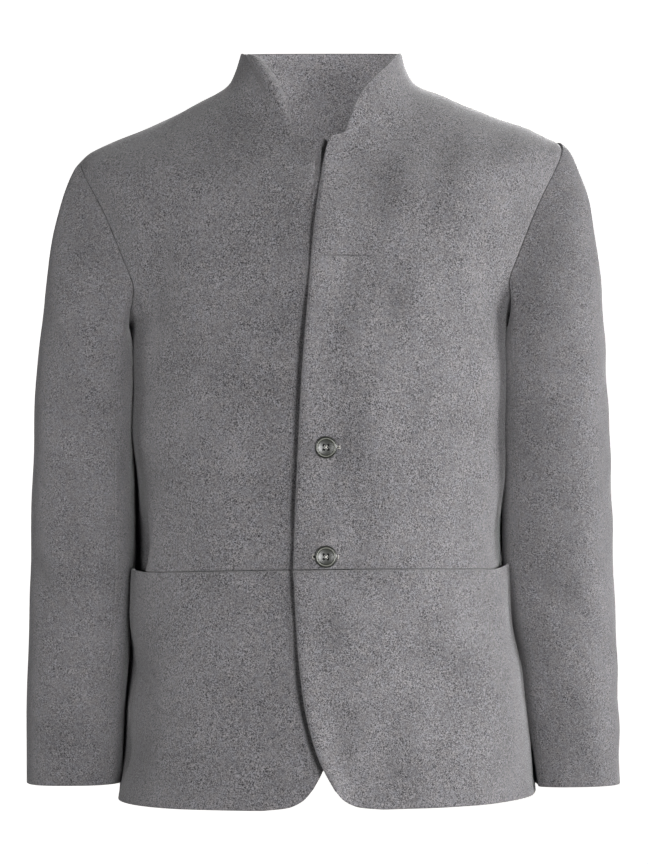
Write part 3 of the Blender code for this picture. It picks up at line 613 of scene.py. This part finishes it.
def armholeLoop():  # from the shoulder down its front, then up its back: levels, angles, turns
    levels = armholeLevels(np.linspace(0, 1, armhole["steps"] + 1))
    ahead, behind = seamAngle - sideReach(levels, "ahead"), seamAngle + sideReach(levels, "behind")
    loopLevels = np.concatenate([levels[::-1], levels[1:]])
    loopAngles = np.concatenate([ahead[::-1], behind[1:]])
    along = alongLine(bodyPoint(loopLevels, loopAngles))
    return loopLevels, loopAngles, tau * along / along[-1]


def seamRun(rows, stops, levels):  # down a panel's side, evenly along the armhole between two of its stops
    start, end = stops[1:3]
    upArmhole = armholeLevels(np.clip((rows - start) / (end - start), 0, 1))
    return np.where((rows > start) & (rows < end), upArmhole, np.interp(rows, stops, levels))


loopLevels, loopAngles, loopTurns = armholeLoop()

sleeve = {
    "rows": (  # how far below the shoulders, the oval's middle, x and y, and half its width and depth
        (0.262, 0.2235, -0.014, 0.0480, 0.073),
        (0.360, 0.2270, -0.009, 0.0490, 0.069),
        (0.460, 0.2285, 0.004, 0.0505, 0.064),
        (0.570, 0.2335, 0.010, 0.0490, 0.058),
        (0.669, 0.2375, 0.022, 0.0465, 0.051),
    ),
    "square": 2.5,
    "cuff": leftRight(-0.671, -0.665),
    "swing": leftRight(0.004, 0.0),
    "full": leftRight(0.0095, 0.0), "fullHigh": (-0.56, -0.45),  # fuller ahead of the body's side
    "fullFrom": np.radians((50, 125)), "fullTo": np.radians((170, 215)),
    "rest": -0.0030, "roll": 0.0006,  # it rests on the body, pressed in a little
    "spread": 0.17, "drop": 0.50, "outward": 0.9, "aim": 0.02,  # how its head leaves the armhole
    "under": np.radians((95, 150)),  # under the arm it falls straight
    "calm": 0.45, "calmFrom": 0.03,  # share of the body's unevenness, this far below the armhole
    "outside": np.radians((70, 110)),  # and on the outside of the arm
    "seams": np.radians((128, -124)),  # from the outside of the arm
    "capLength": 0.16,
    "headRoll": 0.0004, "headRollAt": 0.009, "headRollWide": 0.007, "headRollHigh": (-0.18, -0.13),
    "radius": 0.059,  # turns a fold's degrees to a width
    "folds": {  # both ends as degrees round the arm and height, bow, half width, depth
        "right": (
            (0, -0.130, 10, -0.200, 0.0, 0.045, 0.0038),
            (40, -0.220, 85, -0.320, 0.0, 0.020, 0.0040),
            (30, -0.455, 85, -0.520, 0.0, 0.018, 0.0045),
            (-60, -0.440, -120, -0.460, 0.0, 0.022, 0.0040),
        ),
        "left": (
            (0, -0.075, 0, -0.105, 0.0, 0.030, -0.0030),
            (35, -0.370, 95, -0.395, 0.0, 0.020, 0.0035),
            (45, -0.540, 100, -0.480, 0.0, 0.018, 0.0048),
            (-60, -0.430, -120, -0.455, 0.0, 0.022, 0.0040),
        ),
    },
}
sleeveCurves = curvesThrough(sleeve["rows"])
sleeveTop = -sleeve["rows"][0][0]  # where the head ends and the arm starts


def fromOutside(turns):  # of the arm: plus ahead, minus behind
    return (turns + pi) % tau - pi


def bodySide(z, y):  # half the body's width at a height below the armpit and a depth
    level = levelAt(sideZ, z)
    depth = np.where(y < 0, aheadAt(level), behindAt(level))
    square = squareAt(level)
    return widthAt(level) * np.clip(1 - np.abs(y / depth) ** square, 0, 1) ** (1 / square)


def sleeveOval(z, turn, side):  # turn 0 is the outside of the arm, 90 degrees its front
    x, y, halfX, halfY = (curve(-np.asarray(z)) for curve in sleeveCurves)
    power = 2 / sleeve["square"]
    x, y = x + halfX * signedPower(np.cos(turn), power), y - halfY * signedPower(np.sin(turn), power)
    inner = smoothStep(*sleeve["fullFrom"], turn % tau) * fadeOut(*sleeve["fullTo"], turn % tau)
    x = x - sleeve["full"][side] * inner * smoothStep(*sleeve["fullHigh"], z)
    x, y, z = np.broadcast_arrays(x, y, z)
    rest = bodySide(z, y) + easeAt[side](z) + sleeve["rest"]
    x = (x + rest) / 2 + np.sqrt(((x - rest) / 2) ** 2 + sleeve["roll"] ** 2)
    return np.stack([x, y, z], axis=-1)


def sleeveForm(side, capShares, heights, turns):  # points, and the way the head leaves the armhole
    loop = bodyPoint(*(np.interp(turns % tau, loopTurns, values) for values in (loopLevels, loopAngles)))
    ring = sleeveOval(sleeveTop, turns, side)
    down = unit(sleeveOval(sleeveTop - sleeve["aim"], turns, side) - ring)
    fall = ring - loop
    reach = np.linalg.norm(fall, axis=1, keepdims=True)
    swing = sleeve["outward"] * fadeOut(*sleeve["under"], np.abs(fromOutside(turns)))
    outward = unit(unit(fall) + swing[:, None] * np.array([1.0, 0, 0]))
    leave = loop + sleeve["spread"] * reach * outward
    arrive = ring - sleeve["drop"] * reach * down
    u = capShares[:, None, None]
    cap = (1 - u) ** 3 * loop + 3 * u * (1 - u) ** 2 * leave + 3 * u**2 * (1 - u) * arrive + u**3 * ring
    tall = heights[:, None]
    arm = sleeveOval(tall, turns, side)
    arm[..., 0] += sleeve["swing"][side] * ((tall - sleeveTop) / (sleeve["cuff"][side] - sleeveTop)) ** 2
    return np.concatenate([cap, arm]), outward


def sleeveSurface(side, capShares, heights, turns):
    nudge = cloth["nudge"]
    points, outward = sleeveForm(side, capShares, heights, turns)
    ahead, _ = sleeveForm(side, capShares, heights, turns + nudge)
    behind, _ = sleeveForm(side, capShares, heights, turns - nudge)
    along = np.gradient(points, axis=0)
    along[0] = outward
    return points, unit(np.cross(ahead - behind, along))


def mitre(first, second):  # the way through the cloth where two panels meet at an angle
    middle = unit(first + second)
    return middle / np.clip((middle * first).sum(axis=-1, keepdims=True), armhole["mitreLimit"], 1)


loopPoints = bodyPoint(loopLevels, loopAngles)
loopWays = sleeveSurface("left", np.zeros(1), np.array([sleeveTop]), loopTurns[:-1])[1][0]
loopThrough = mitre(bodyWay(loopLevels[:-1], loopAngles[:-1]), loopWays)


def fromArmhole(points):  # distance, the closest point of the armhole, and the mirroring to its side
    mirror = np.where(points[..., :1] < 0, (-1.0, 1.0, 1.0), (1.0, 1.0, 1.0))
    return *nearest(points * mirror, loopPoints[:-1]), mirror


def stillAtArmhole(points):
    return smoothStep(0, cloth["stillWide"], fromArmhole(points)[0])


def armholeThrough(points, ways):  # the way through the cloth, leaning into the mitre at the armhole
    away, index, mirror = fromArmhole(points)
    near = fadeOut(0, armhole["turnIn"], away)[..., None]
    return (1 - near) * ways + near * loopThrough[index] * mirror


front = {
    "edge": (  # level, then how far the left and the right front edge lie from the centre line
        (waistLevel, -0.0263, -0.0300),
        (levelOf["chest"], -0.0180, -0.0220),
        (levelOf["across"], -0.0103, -0.0145),
        (levelOf["shoulder"], -0.0033, -0.0075),
        (levelOf["neckRoot"], 0.0040, -0.0100),
        (toNotch, 0.0090, -0.0080),
        (fromNotch, 0.0220, 0.0285),
        (fromNotch + bodyForm["notch"], 0.0225, 0.0288),
        (levelOf["collarLow"], 0.0287, 0.0320),
        (levelOf["collarMid"], 0.0383, 0.0387),
        (topLevel, 0.0740, 0.0565),
    ),
    "notchRows": 6,  # up its step
    "rim": leftRight("lapEdge", "edge"),
    "fineRows": (18.2, 19.9, 48),  # closer together where a line is pressed across the chest
    "lap": 0.0015, "lapEnd": (0.036, 0.075),  # left out and right in, fading between these distances
    "rowStops": (0, 9, 20, 27, 31),  # waist, armpit, shoulder, neck, collar top
    "rowLengths": (0.24, 0.19, 0.15, 0.05),
    "wide": 0.26,
    "hold": 1.6,  # above 1, the rows follow the front edge further in
    # height, and how far the left edge stands off
    "lift": (
        (-0.68, 0.0080), (-0.655, 0.0095), (-0.60, 0.0080), (-0.55, 0.0050), (-0.50, 0.0035), (-0.40, 0.0028),
        (-0.30, 0.0028), (-0.20, 0.0030), (-0.10, 0.0030), (-0.05, 0.0018), (0.04, 0.0),
    ),
    "liftWide": 0.035,
    # height, and how deep the right front falls away right beside the left edge
    "tuck": (
        (-0.68, 0.0110), (-0.60, 0.0100), (-0.50, 0.0070), (-0.30, 0.0055), (-0.10, 0.0055),
        (-0.075, 0.0090), (-0.058, 0.0160), (-0.030, 0.0),
    ),
    "tuckWide": 0.009,
    # and more softly further off
    "dip": (
        (-0.60, 0.0), (-0.50, 0.0030), (-0.42, 0.0050), (-0.30, 0.0070), (-0.22, 0.0040), (-0.16, 0.0008),
        (-0.12, 0.0),
    ),
    "dipWide": 0.065,
    "fineColumns": (0.07, 0.28, 44),  # closer together beside the left edge
    "collarTip": leftRight(0.0, 0.005), "tipWide": 0.035,  # a collar corner stands up by this
    "flapHigh": (fromNotch, levelOf["collarLow"] + 0.5),  # levels over which the collar's edge comes free
    "flapRoll": leftRight(0.0, 0.014), "flapRollWide": 0.022,  # it rolls softly inwards
    "flapTurn": leftRight(0.0, 0.010), "flapTurnWide": 0.034,  # and turns away from the key
}
mouth = {
    "start": radians(-58), "deepest": radians(-16),
    "gape": leftRight(0.006, 0.011), "fade": 0.115, "depth": 0.15,
    "gapeFrom": leftRight(radians(-48), radians(-26)),
    "roll": 0.0016, "rollWide": 0.03,  # the pocket edge stands a little off
    "slack": 0.2, "slackWide": radians(12),  # share of the gape along the seam, before the crease
    "pinch": leftRight(0.003, 0.012),  # beyond a crease the front falls back
    "crease": leftRight(np.radians((-20, -20)), np.radians((-24, -31))),
    "creaseHigh": 0.05, "crisp": leftRight(0.0, 1.0),  # the crease at the waist, and this much higher
    "pinchTo": radians(-6),  # and then comes home to the side seam
    "corner": leftRight(0.006, 0.0035),  # the skirt's corner stands up beside the side seam
    "cornerAngles": np.radians((-30, -4)),
}
edgeAt = dict(zip(sideOf, curvesThrough(front["edge"])))
liftAt, tuckAt, dipAt = (smoothCurve(*zip(*front[name])) for name in ("lift", "tuck", "dip"))


def mouthShare(angles, side):
    slack = mouth["slack"] * smoothStep(mouth["start"], mouth["start"] + mouth["slackWide"], angles)
    rise = slack + (1 - mouth["slack"]) * smoothStep(mouth["gapeFrom"][side], mouth["deepest"], angles)
    return np.minimum(rise, fadeOut(mouth["deepest"], seamAngle, angles))


def mouthFall(angles, z, side, reach):  # how far cloth lies back behind the skirt's open edge
    waistZ = sideZ(waistLevel)
    crease = np.interp(z, (waistZ, waistZ + mouth["creaseHigh"]), mouth["crease"][side])
    past = np.clip((angles - crease) / (mouth["pinchTo"] - crease), 0, 1)
    crisp = mouth["crisp"][side]
    ramp = crisp * past * (2 - past) + (1 - crisp) * past**2 * (3 - 2 * past)
    pinch = mouth["pinch"][side] * ramp * fadeOut(mouth["pinchTo"], seamAngle, angles)
    return (mouth["gape"][side] * mouthShare(angles, side) + pinch) * fadeOut(waistZ, waistZ + reach, z)


def stillAtSides(angles):
    away = np.minimum(np.abs(angles - seamAngle), np.abs(pi - seamAngle - angles))
    return smoothStep(0, cloth["still"], away)


def leftEdge(levels, heights):  # distance of the left front's edge from the centre line, down to the hem
    x, _, z = zip(*skirt["edge"][::-1])
    return np.where(levels < waistLevel, np.interp(heights, z, x), edgeAt["left"](levels))


def frontOffset(levels, angles, points, side, fromEdge):
    x, z, flat = points[..., 0], points[..., 2], points[..., [0, 2]]
    below = fadeOut(neckLevel, topLevel, levels)
    lap = sideOf[side] * front["lap"] * fadeOut(*front["lapEnd"], x) * below
    uneven = waveHeight(flat, side) - foldDepth(flat, folds[side, "front"])
    offset = lap + uneven * stillAtSides(angles)
    if side == "left":
        offset += liftAt(z) * fadeOut(0, front["liftWide"], fromEdge) * below
    else:
        beside = x + leftEdge(levels, z)
        offset -= tuckAt(z) * fadeOut(0, front["tuckWide"], beside)
        offset -= dipAt(z) * fadeOut(0, front["dipWide"], beside)
    return offset + sideEase(angles, z, side)


def drawBack(away):  # from the waist seam
    return cloth["slit"] * np.clip(1 - away / cloth["slitWide"], 0, 1)


def sewFront(side):
    stops = front["rowStops"]
    neck = stops[3]
    rows = np.union1d(places(stops, front["rowLengths"]), np.linspace(neck, neck + 1, front["notchRows"]))
    columns = places((0, 1), front["wide"])
    if side == "left":
        rows = np.union1d(rows, np.linspace(*front["fineRows"]))
    else:
        columns = np.union1d(columns, np.linspace(*front["fineColumns"]))
    low, high = frontZ(waistLevel), frontZ(toNotch)
    below = levelAt(frontZ, low + (high - low) * np.clip(rows / neck, 0, 1))
    above = np.interp(rows, (neck, neck + 1, stops[-1]), (toNotch, fromNotch, topLevel))
    edgeLevels = np.where(rows <= neck, below, above)
    edgeLevels[0] = waistLevel
    edge = pairs(angleAt(edgeLevels, edgeAt[side](edgeLevels)), edgeLevels)
    seamLevels = seamRun(rows, stops, (waistLevel, armpitLevel, shoulderLevel, neckLevel, topLevel))
    seam = pairs(seamAngle - sideReach(seamLevels, "ahead"), seamLevels)
    ends = [
        pairs(anglesAlong(seam[row, 1], edge[row, 0], seam[row, 0], columns), seam[row, 1]) for row in (0, -1)
    ]
    angles, levels = patch(*ends, edge, seam, rows / stops[-1], columns ** front["hold"])
    base, ways = bodyPoint(levels, angles), bodyWay(levels, angles)
    fromEdge = alongLine(base, axis=1)
    offset = frontOffset(levels, angles, base, side, fromEdge) * stillAtArmhole(base)
    offset -= mouthFall(angles, base[..., 2], side, mouth["fade"])
    curl = np.clip(1 - fromEdge / front["flapRollWide"], 0, 1)
    flap = smoothStep(*front["flapHigh"], levels)
    offset -= front["flapRoll"][side] * (1 - np.sqrt(1 - curl**2)) * flap
    offset += front["flapTurn"][side] * fadeOut(0, front["flapTurnWide"], fromEdge) * flap
    tip = smoothStep(levelOf["collarLow"], topLevel, levels) * fadeOut(0, front["tipWide"], fromEdge)
    lift = front["collarTip"][side] * tip + drawBack(alongLine(base))
    sewPiece("front_{}", base, ways, offset, ("waist", "edge", front["rim"][side], "armhole"), side, lift)


skirt = {
    "edge": (  # left and right edge's distance from the centre line, height
        (-0.0263, -0.0300, -0.457), (-0.0224, -0.0265, -0.524), (-0.0159, -0.0205, -0.580),
        (-0.0067, -0.0115, -0.618), (0.0025, -0.0020, -0.641), (0.0117, 0.0072, -0.658),
    ),
    "corner": (
        (0.0575, 0.0530, -0.678), (0.0355, 0.0310, -0.6755), (0.0215, 0.0170, -0.669),
        (0.0117, 0.0072, -0.658),
    ),
    "bend": 9 / 13,  # share of the hem that runs straight, before its corner
    "wide": 0.27, "long": 0.22,
    "toWaist": 1 / 9,  # the front edge comes to the waist seam's level over this share
    "pocketWide": 8 / 13, "pocketLong": 6 / 9,
}


def alongCut(cut, side, shares):  # distance from the centre and level at shares of the way along a cut line
    points = np.array([(left if side == "left" else right, z) for left, right, z in cut])
    where = alongLine(points)
    x, z = (smoothCurve(where, values)(shares * where[-1]) for values in points.T)
    return x, levelAt(sideZ, z)


def skirtAngles(side, rows, columns):  # shares of the way down from the waist and in from the side seam
    x, levels = alongCut(skirt["edge"], side, rows)
    levels += (waistLevel - levels[0]) * np.clip(1 - rows / skirt["toWaist"], 0, 1)
    edge = pairs(angleAt(levels, x), levels)
    bend = skirt["bend"]
    x, levels = alongCut(skirt["corner"], side, np.clip((columns - bend) / (1 - bend), 0, 1))
    corner = pairs(angleAt(levels, x), levels)
    flat = pairs(anglesAlong(hemLevel, seamAngle, corner[0, 0], np.clip(columns / bend, 0, 1)), hemLevel)
    hem = np.where((columns < bend)[:, None], flat, corner)
    waist = pairs(anglesAlong(waistLevel, seamAngle, edge[0, 0], columns), waistLevel)
    sideSeam = pairs(seamAngle, waistLevel + (hemLevel - waistLevel) * rows)
    return patch(waist, hem, sideSeam, edge, rows, columns)


def skirtSurface(side, rows, columns):
    angles, levels = skirtAngles(side, rows, columns)
    base, ways = bodyPoint(levels, angles), bodyWay(levels, angles)
    across = alongLine(base, axis=1)
    fromEdge = across[:, -1:] - across if columns[-1] == 1 else skirt["wide"]
    return angles, base, ways, frontOffset(levels, angles, base, side, fromEdge)


def sewSkirt(side):
    rows, columns = places((0, 1), skirt["long"]), places((0, 1), skirt["wide"])
    if side == "right":
        columns = np.union1d(columns, 1 - np.linspace(*front["fineColumns"]))
    angles, base, ways, offset = skirtSurface(side, rows, columns)
    below = alongLine(base)
    top = fadeOut(0, mouth["rollWide"], below)
    offset += mouth["roll"] * mouthShare(angles, side) * top
    lift = mouth["corner"][side] * smoothStep(*mouth["cornerAngles"], angles) * top - drawBack(below)
    sewPiece("skirt_{}", base, ways, offset, ("waist", "edge", "seam", front["rim"][side]), side, lift)


def sewPocket(side):
    long, wide = skirt["pocketLong"], skirt["pocketWide"]
    rows, columns = places((0, long), skirt["long"] * long), places((0, wide), skirt["wide"] * wide)
    angles, base, ways, offset = skirtSurface(side, rows, columns)
    offset -= cloth["thick"] + cloth["seamGap"] + mouthFall(angles, base[..., 2], side, -mouth["depth"])
    sewPiece("pocket_{}", base, ways, offset, ("edge", "edge", "edge", "edge"), side)


back = {
    "rowStops": (0, 15, 26, 33),  # hem, armpit, shoulder, neck
    "rowLengths": (0.46, 0.19, 0.15),
    "wide": 0.52,
    "cell": 0.0042,
    "hemRise": 0.011, "hemRiseWide": (0.02, 0.18), "hemRiseHigh": 0.15,  # the hem arches in the middle
}


def sewBack():
    stops = back["rowStops"]
    rows = places(stops, back["rowLengths"], back["cell"])
    shares = places((-1, 1), back["wide"], back["cell"])
    seamLevels = seamRun(rows, stops, (hemLevel, armpitLevel, shoulderLevel, neckLevel))
    low, high = backZ(hemLevel), backZ(neckLevel)
    middleLevels = levelAt(backZ, low + (high - low) * rows / stops[-1])
    levels = middleLevels[:, None] + (seamLevels - middleLevels)[:, None] * shares**2
    starts = seamAngle + sideReach(seamLevels, "behind")
    angles = np.array([
        anglesAlong(level, start, pi - start, (shares + 1) / 2)
        for level, start in zip(seamLevels, starts)
    ])
    base, ways = bodyPoint(levels, angles), bodyWay(levels, angles)
    x, z, flat = base[..., 0], base[..., 2], base[..., [0, 2]]
    offset = waveHeight(flat, "back")
    for side in sideOf:
        offset -= foldDepth(flat * (sideOf[side], 1), folds[side, "back"])
    offset *= stillAtSides(angles) * stillAtArmhole(base) * fadeOut(shoulderLevel, neckLevel, levels)
    offset += sideEase(angles, z, "left") + sideEase(pi - angles, z, "right")
    middle = fadeOut(*back["hemRiseWide"], np.abs(x))
    lift = back["hemRise"] * middle * fadeOut(low, low + back["hemRiseHigh"], z)
    sewPiece("back", base, ways, offset, ("edge", "seam", "armhole", "armhole"), lift=lift)


collar = {"high": 0.045, "wide": 0.22, "cell": 0.003}


def sewCollar():
    rows = places((neckLevel, topLevel), collar["high"], collar["cell"])
    columns = places((0, 1), collar["wide"], collar["cell"])
    angles = np.array([anglesAlong(level, seamAngle, pi - seamAngle, columns) for level in rows])
    levels = np.broadcast_to(rows[:, None], angles.shape)
    across = np.sin(angles)
    # its top edge looks straight from the front
    rise = (backZ(topLevel) - sideZ(topLevel)) * (across - across**2)
    lift = rise * smoothStep(levelOf["collarLow"], topLevel, levels)
    rims = ("seam", "edge", "seam", "seam")
    sewPiece("collar", bodyPoint(levels, angles), bodyWay(levels, angles), 0.0, rims, lift=lift)


def sewSleeve(side):
    cuff, radius, cap = sleeve["cuff"][side], sleeve["radius"], sleeve["capLength"]
    near = np.array(cloth["edgeSteps"])
    capShares = np.concatenate([near / cap, np.linspace(near[-1] / cap, 1, round(cap / cloth["cell"]))[1:-1]])
    steps = round((sleeveTop - cuff) / cloth["cell"])
    heights = np.concatenate([np.linspace(sleeveTop, cuff + near[-1], steps)[:-1], cuff + near[::-1]])
    folded = [
        (radians(a) * radius, z0, radians(b) * radius, z1, *rest)
        for a, z0, b, z1, *rest in sleeve["folds"][side]
    ]
    ahead, behind = sleeve["seams"]
    turns = {"sleeve_{}_top": (behind, ahead), "sleeve_{}_under": (ahead, behind + tau)}
    for cut, (start, end) in turns.items():
        columns = places((start, end), (end - start) * radius)
        base, ways = sleeveSurface(side, capShares, heights, columns)
        turned, z, fall = fromOutside(columns), base[..., 2], alongLine(base)
        flat = pairs(radius * turned, z)
        offset = -foldDepth(flat, folded)
        calm = smoothStep(0, sleeve["calmFrom"], fall) * fadeOut(*sleeve["outside"], np.abs(turned))
        offset += sleeve["calm"] * calm * waveHeight(flat, f"{side} sleeve")
        roll = np.exp(-(((fall - sleeve["headRollAt"]) / sleeve["headRollWide"]) ** 2)) * sleeve["headRoll"]
        offset += roll * smoothStep(*sleeve["headRollHigh"], z)
        sewPiece(cut, base, ways, offset, ("armhole", "edge", "seam", "seam"), side)


sewBack()
sewCollar()
for side in sideOf:
    sewFront(side)
    sewSkirt(side)
    sewPocket(side)
    sewSleeve(side)

# cow horn, turned and polished: dark, slightly streaked, with a soft gloss
button = {
    "thick": 0.0034, "dish": 0.0013,
    "profile": (  # radius, and depth below the top of the ring
        (0.0, 0.00130), (0.0020, 0.00127), (0.0040, 0.00116), (0.0056, 0.00095), (0.0066, 0.00076),
        (0.0071, 0.00068), (0.0074, 0.00056), (0.0078, 0.00018), (0.0083, 0.00002), (0.0088, 0.00004),
        (0.0094, 0.00028), (0.0099, 0.00075), (0.0102, 0.00130), (0.0103, 0.00180), (0.0103, 0.00260),
        (0.0096, 0.00340), (0.0, 0.00340),
    ),
    "holeRadius": 0.0012, "holeStep": 0.0021,
    "steps": 96, "holeSides": 24, "sharp": radians(40), "weld": 1e-6,
    "x": 0.0043, "z": {"button_upper": -0.344, "button_lower": -0.445},
    "seat": 0.0006,  # off the cloth
    "dark": "#0f100e", "light": "#2d2f29",
    "streaks": (0.004, 3.0, 1.5),  # size, then the noise's detail and distortion
    "ring": "#66675f", "ringFrom": 0.0077, "ringTo": 0.0085, "ringSoft": 0.0003,  # painted highlight: the ring's colour is paler, standing in for the lamps' gleam on its bevel
    "roughness": 0.34, "ior": 1.55, "shine": 0.5,
}
holePlaces = [(x * button["holeStep"], y * button["holeStep"]) for x in (-1, 1) for y in (-1, 1)]


def makeHorn():
    material, tree, shader = newMaterial("dark horn, turned and polished")
    place = addNode(tree, "TexCoord", {}).outputs["Object"]
    size, detail, bent = button["streaks"]
    inputs = {"Vector": place, "Scale": 1 / size, "Detail": detail, "Distortion": bent}
    streaks = addNode(tree, "TexNoise", inputs)
    dark, light, ring = (linear(button[name]) for name in ("dark", "light", "ring"))
    colour = addNode(tree, "Mix", {0: streaks, 6: dark, 7: light}, data_type="RGBA").outputs[2]
    flat = addNode(tree, "VectorMath", {0: place, 1: (1, 1, 0)}, operation="MULTIPLY")
    radius = addNode(tree, "VectorMath", {0: flat}, operation="LENGTH").outputs["Value"]
    # painted highlight: paler colour in a band round the ring
    sides = {}
    for k, edge in enumerate((button["ringFrom"], button["ringTo"])):
        start, end = edge - button["ringSoft"], edge + button["ringSoft"]
        inputs = {"Value": radius, "From Min": start, "From Max": end, "To Min": k, "To Max": 1 - k}
        sides[k] = addNode(tree, "MapRange", inputs, interpolation_type="SMOOTHSTEP")
    paintedHighlight = addNode(tree, "Math", sides, operation="MULTIPLY")
    plugIn(tree, shader, {
        "Base Color": addNode(tree, "Mix", {0: paintedHighlight, 6: colour, 7: ring}, data_type="RGBA").outputs[2],
        "Roughness": button["roughness"], "IOR": button["ior"], "Specular IOR Level": button["shine"],
    })
    return material


horn = makeHorn()


def buttonPlace(name):
    level = levelAt(frontZ, button["z"][name])
    angle = angleAt(level, button["x"])
    way, point = bodyWay(level, angle), bodyPoint(level, angle)
    fromEdge = button["x"] - edgeAt["left"](level)
    seat = point + (frontOffset(level, angle, point, "left", fromEdge) + button["seat"]) * way
    return Matrix.Translation(Vector(seat)) @ Vector(way).to_track_quat("Z", "Y").to_matrix().to_4x4()


def makeButton(name):
    shape = bmesh.new()
    line = [shape.verts.new((radius, 0, button["thick"] - deep)) for radius, deep in button["profile"]]
    edges = [shape.edges.new(pair) for pair in zip(line, line[1:])]
    whole = {"axis": (0, 0, 1), "cent": (0, 0, 0), "angle": tau, "steps": button["steps"]}
    bmesh.ops.spin(shape, geom=line + edges, **whole)
    bmesh.ops.remove_doubles(shape, verts=shape.verts, dist=button["weld"])
    bmesh.ops.recalc_face_normals(shape, faces=shape.faces)
    turned = meshFrom(f"{name}_blank", shape)
    pins = bmesh.new()
    for x, y in holePlaces:
        bmesh.ops.create_cone(
            pins, cap_ends=True, segments=button["holeSides"], radius1=button["holeRadius"],
            radius2=button["holeRadius"], depth=3 * button["thick"],
            matrix=Matrix.Translation((x, y, button["thick"] / 2)),
        )
    drill = addObject("thread holes", meshFrom("thread holes", pins))
    blank = addObject("button blank", turned)
    blank.modifiers.new("thread holes", "BOOLEAN").object = drill
    drilled = bpy.data.meshes.new_from_object(blank.evaluated_get(bpy.context.evaluated_depsgraph_get()))
    bpy.data.objects.remove(blank)
    bpy.data.objects.remove(drill)
    drilled.shade_smooth()
    drilled.set_sharp_from_angle(angle=button["sharp"])
    drilled.materials.clear()
    drilled.materials.append(horn)
    addPiece(f"{name}_horn", drilled, [name], buttonPlace(name))
    print(name, "turned")


# spun silk, waxed: pale, finely ribbed
thread = {
    "colour": {"thread": "#c4c2bc", "stitches": "#8c8a86"}, "roughness": 0.6,
    "thick": 0.00030, "arch": 0.0007, "flatTop": 4, "bends": 13, "sides": 8,
    "short": 0.0006, "dip": 0.0012, "steep": 10,  # it dips into the near side of each hole
    "dark": 0.0005,  # painted shade: a black disc lies this far down in each thread hole
    "holeLong": 0.0236, "holeWide": 0.0026, "square": 0.45,  # buttonhole
    "eye": 0.0021, "eyeLong": 1.6, "eyeLess": 0.4,  # the round end towards the edge of the front
    "holeX": {"button_upper": 0.0008, "button_lower": -0.0006},  # from the button's middle
    "band": 0.00070, "bandRise": 0.4, "stitches": 62, "stitchSteps": 6, "rib": 0.22,  # the stitches round it
    "tackLong": 0.0036, "tackThick": 0.0008, "tackSteps": 7,  # bar across its end away from the edge
    # painted shade: black for the buttonhole's slit and the thread holes, and the sheet's height off the
    # cloth
    "slit": "#0b0b0b", "shadeRise": 0.0003,
}
silk = {}
for use, colour in thread["colour"].items():
    inputs = {"Base Color": linear(colour), "Roughness": thread["roughness"]}
    silk[use] = makePlain(f"spun silk, waxed, {use}", inputs)
# painted shade: a black sheet between the buttonhole's two edges and black discs down in the thread holes,
# where there would only be shade
shade = makePlain("open slit, unlit cloth", {"Base Color": linear(thread["slit"]), "Roughness": 1.0})


def tube(shape, line, radii, closed=False):  # swept along a line in the XY plane, with z as its height
    ahead = np.roll(line, -1, axis=0) - np.roll(line, 1, axis=0)
    if not closed:
        ahead[0], ahead[-1] = line[1] - line[0], line[-1] - line[-2]
    aside = unit(np.cross(ahead, np.array([0, 0, 1.0])))
    rise = unit(np.cross(aside, ahead))
    turns = np.linspace(0, tau, thread["sides"], endpoint=False)
    rings = [
        [shape.verts.new(p + r * (cos(t) * a + sin(t) * u)) for t in turns]
        for p, r, a, u in zip(line, np.broadcast_to(radii, len(line)), aside, rise)
    ]
    for first, second in zip(rings, rings[1:] + rings[:1] if closed else rings[1:]):
        for k in range(len(turns)):
            j = (k + 1) % len(turns)
            shape.faces.new((first[k], first[j], second[j], second[k]))
    if not closed:
        shape.faces.new(rings[0][::-1])
        shape.faces.new(rings[-1])


def placeThread(name, shape, material, at):
    bmesh.ops.recalc_face_normals(shape, faces=shape.faces)
    mesh = meshFrom(name, shape)
    mesh.shade_smooth()
    mesh.materials.append(material)
    addPiece(name, mesh, at=at)


def sewButton(name):
    at = buttonPlace(name)
    low = button["thick"] - button["dish"]
    shape = bmesh.new()
    share = np.linspace(-1, 1, thread["bends"])
    reach = (button["holeStep"] - thread["short"]) * share
    for k, turn in enumerate((-1, 1)):  # crossed between the four holes
        arch = (thread["arch"] + 2 * k * thread["thick"]) * (1 - share ** thread["flatTop"])
        height = low + arch - thread["dip"] * share ** thread["steep"]
        tube(shape, np.stack([reach, turn * reach, height], axis=1), thread["thick"])
    placeThread(f"{name}_thread", shape, silk["thread"], at)

    half, wide, eye = thread["holeLong"] / 2, thread["holeWide"] / 2, thread["eye"]
    middle, seat = thread["holeX"][name], -button["seat"]
    around = np.linspace(0, tau, thread["stitchSteps"] * thread["stitches"], endpoint=False)
    narrow = wide * signedPower(np.sin(around), thread["square"])
    swell = np.exp(-(((np.cos(around) + 1) * half / (thread["eyeLong"] * eye)) ** 2))  # keyhole end
    x, y = middle + half * np.cos(around), narrow * (1 + swell * (eye / wide - thread["eyeLess"]))
    outline = np.stack([x, y, np.full(len(around), thread["band"] * thread["bandRise"] + seat)], axis=1)
    ribs = thread["band"] * (1 + thread["rib"] * np.sin(thread["stitches"] * around))
    shape = bmesh.new()
    tube(shape, outline, ribs, closed=True)
    across = np.linspace(-0.5, 0.5, thread["tackSteps"]) * thread["tackLong"]
    tube(shape, np.array([(middle + half, y, seat) for y in across]), thread["tackThick"])
    placeThread(f"{name}_hole_stitches", shape, silk["stitches"], at)

    # painted shade: a black sheet fills the buttonhole, and a black disc lies in each thread hole
    shape = bmesh.new()
    shape.faces.new([shape.verts.new((x, y, thread["shadeRise"] + seat)) for x, y, _ in outline])
    sides, radius = button["holeSides"], button["holeRadius"]
    for x, y in holePlaces:
        bottom = Matrix.Translation((x, y, low - thread["dark"]))
        bmesh.ops.create_circle(shape, cap_ends=True, segments=sides, radius=radius, matrix=bottom)
    placeThread(f"{name}_hole_painted_shade", shape, shade, at)
    print(name, "sewn on")


for name in button["z"]:
    makeButton(name)
    sewButton(name)
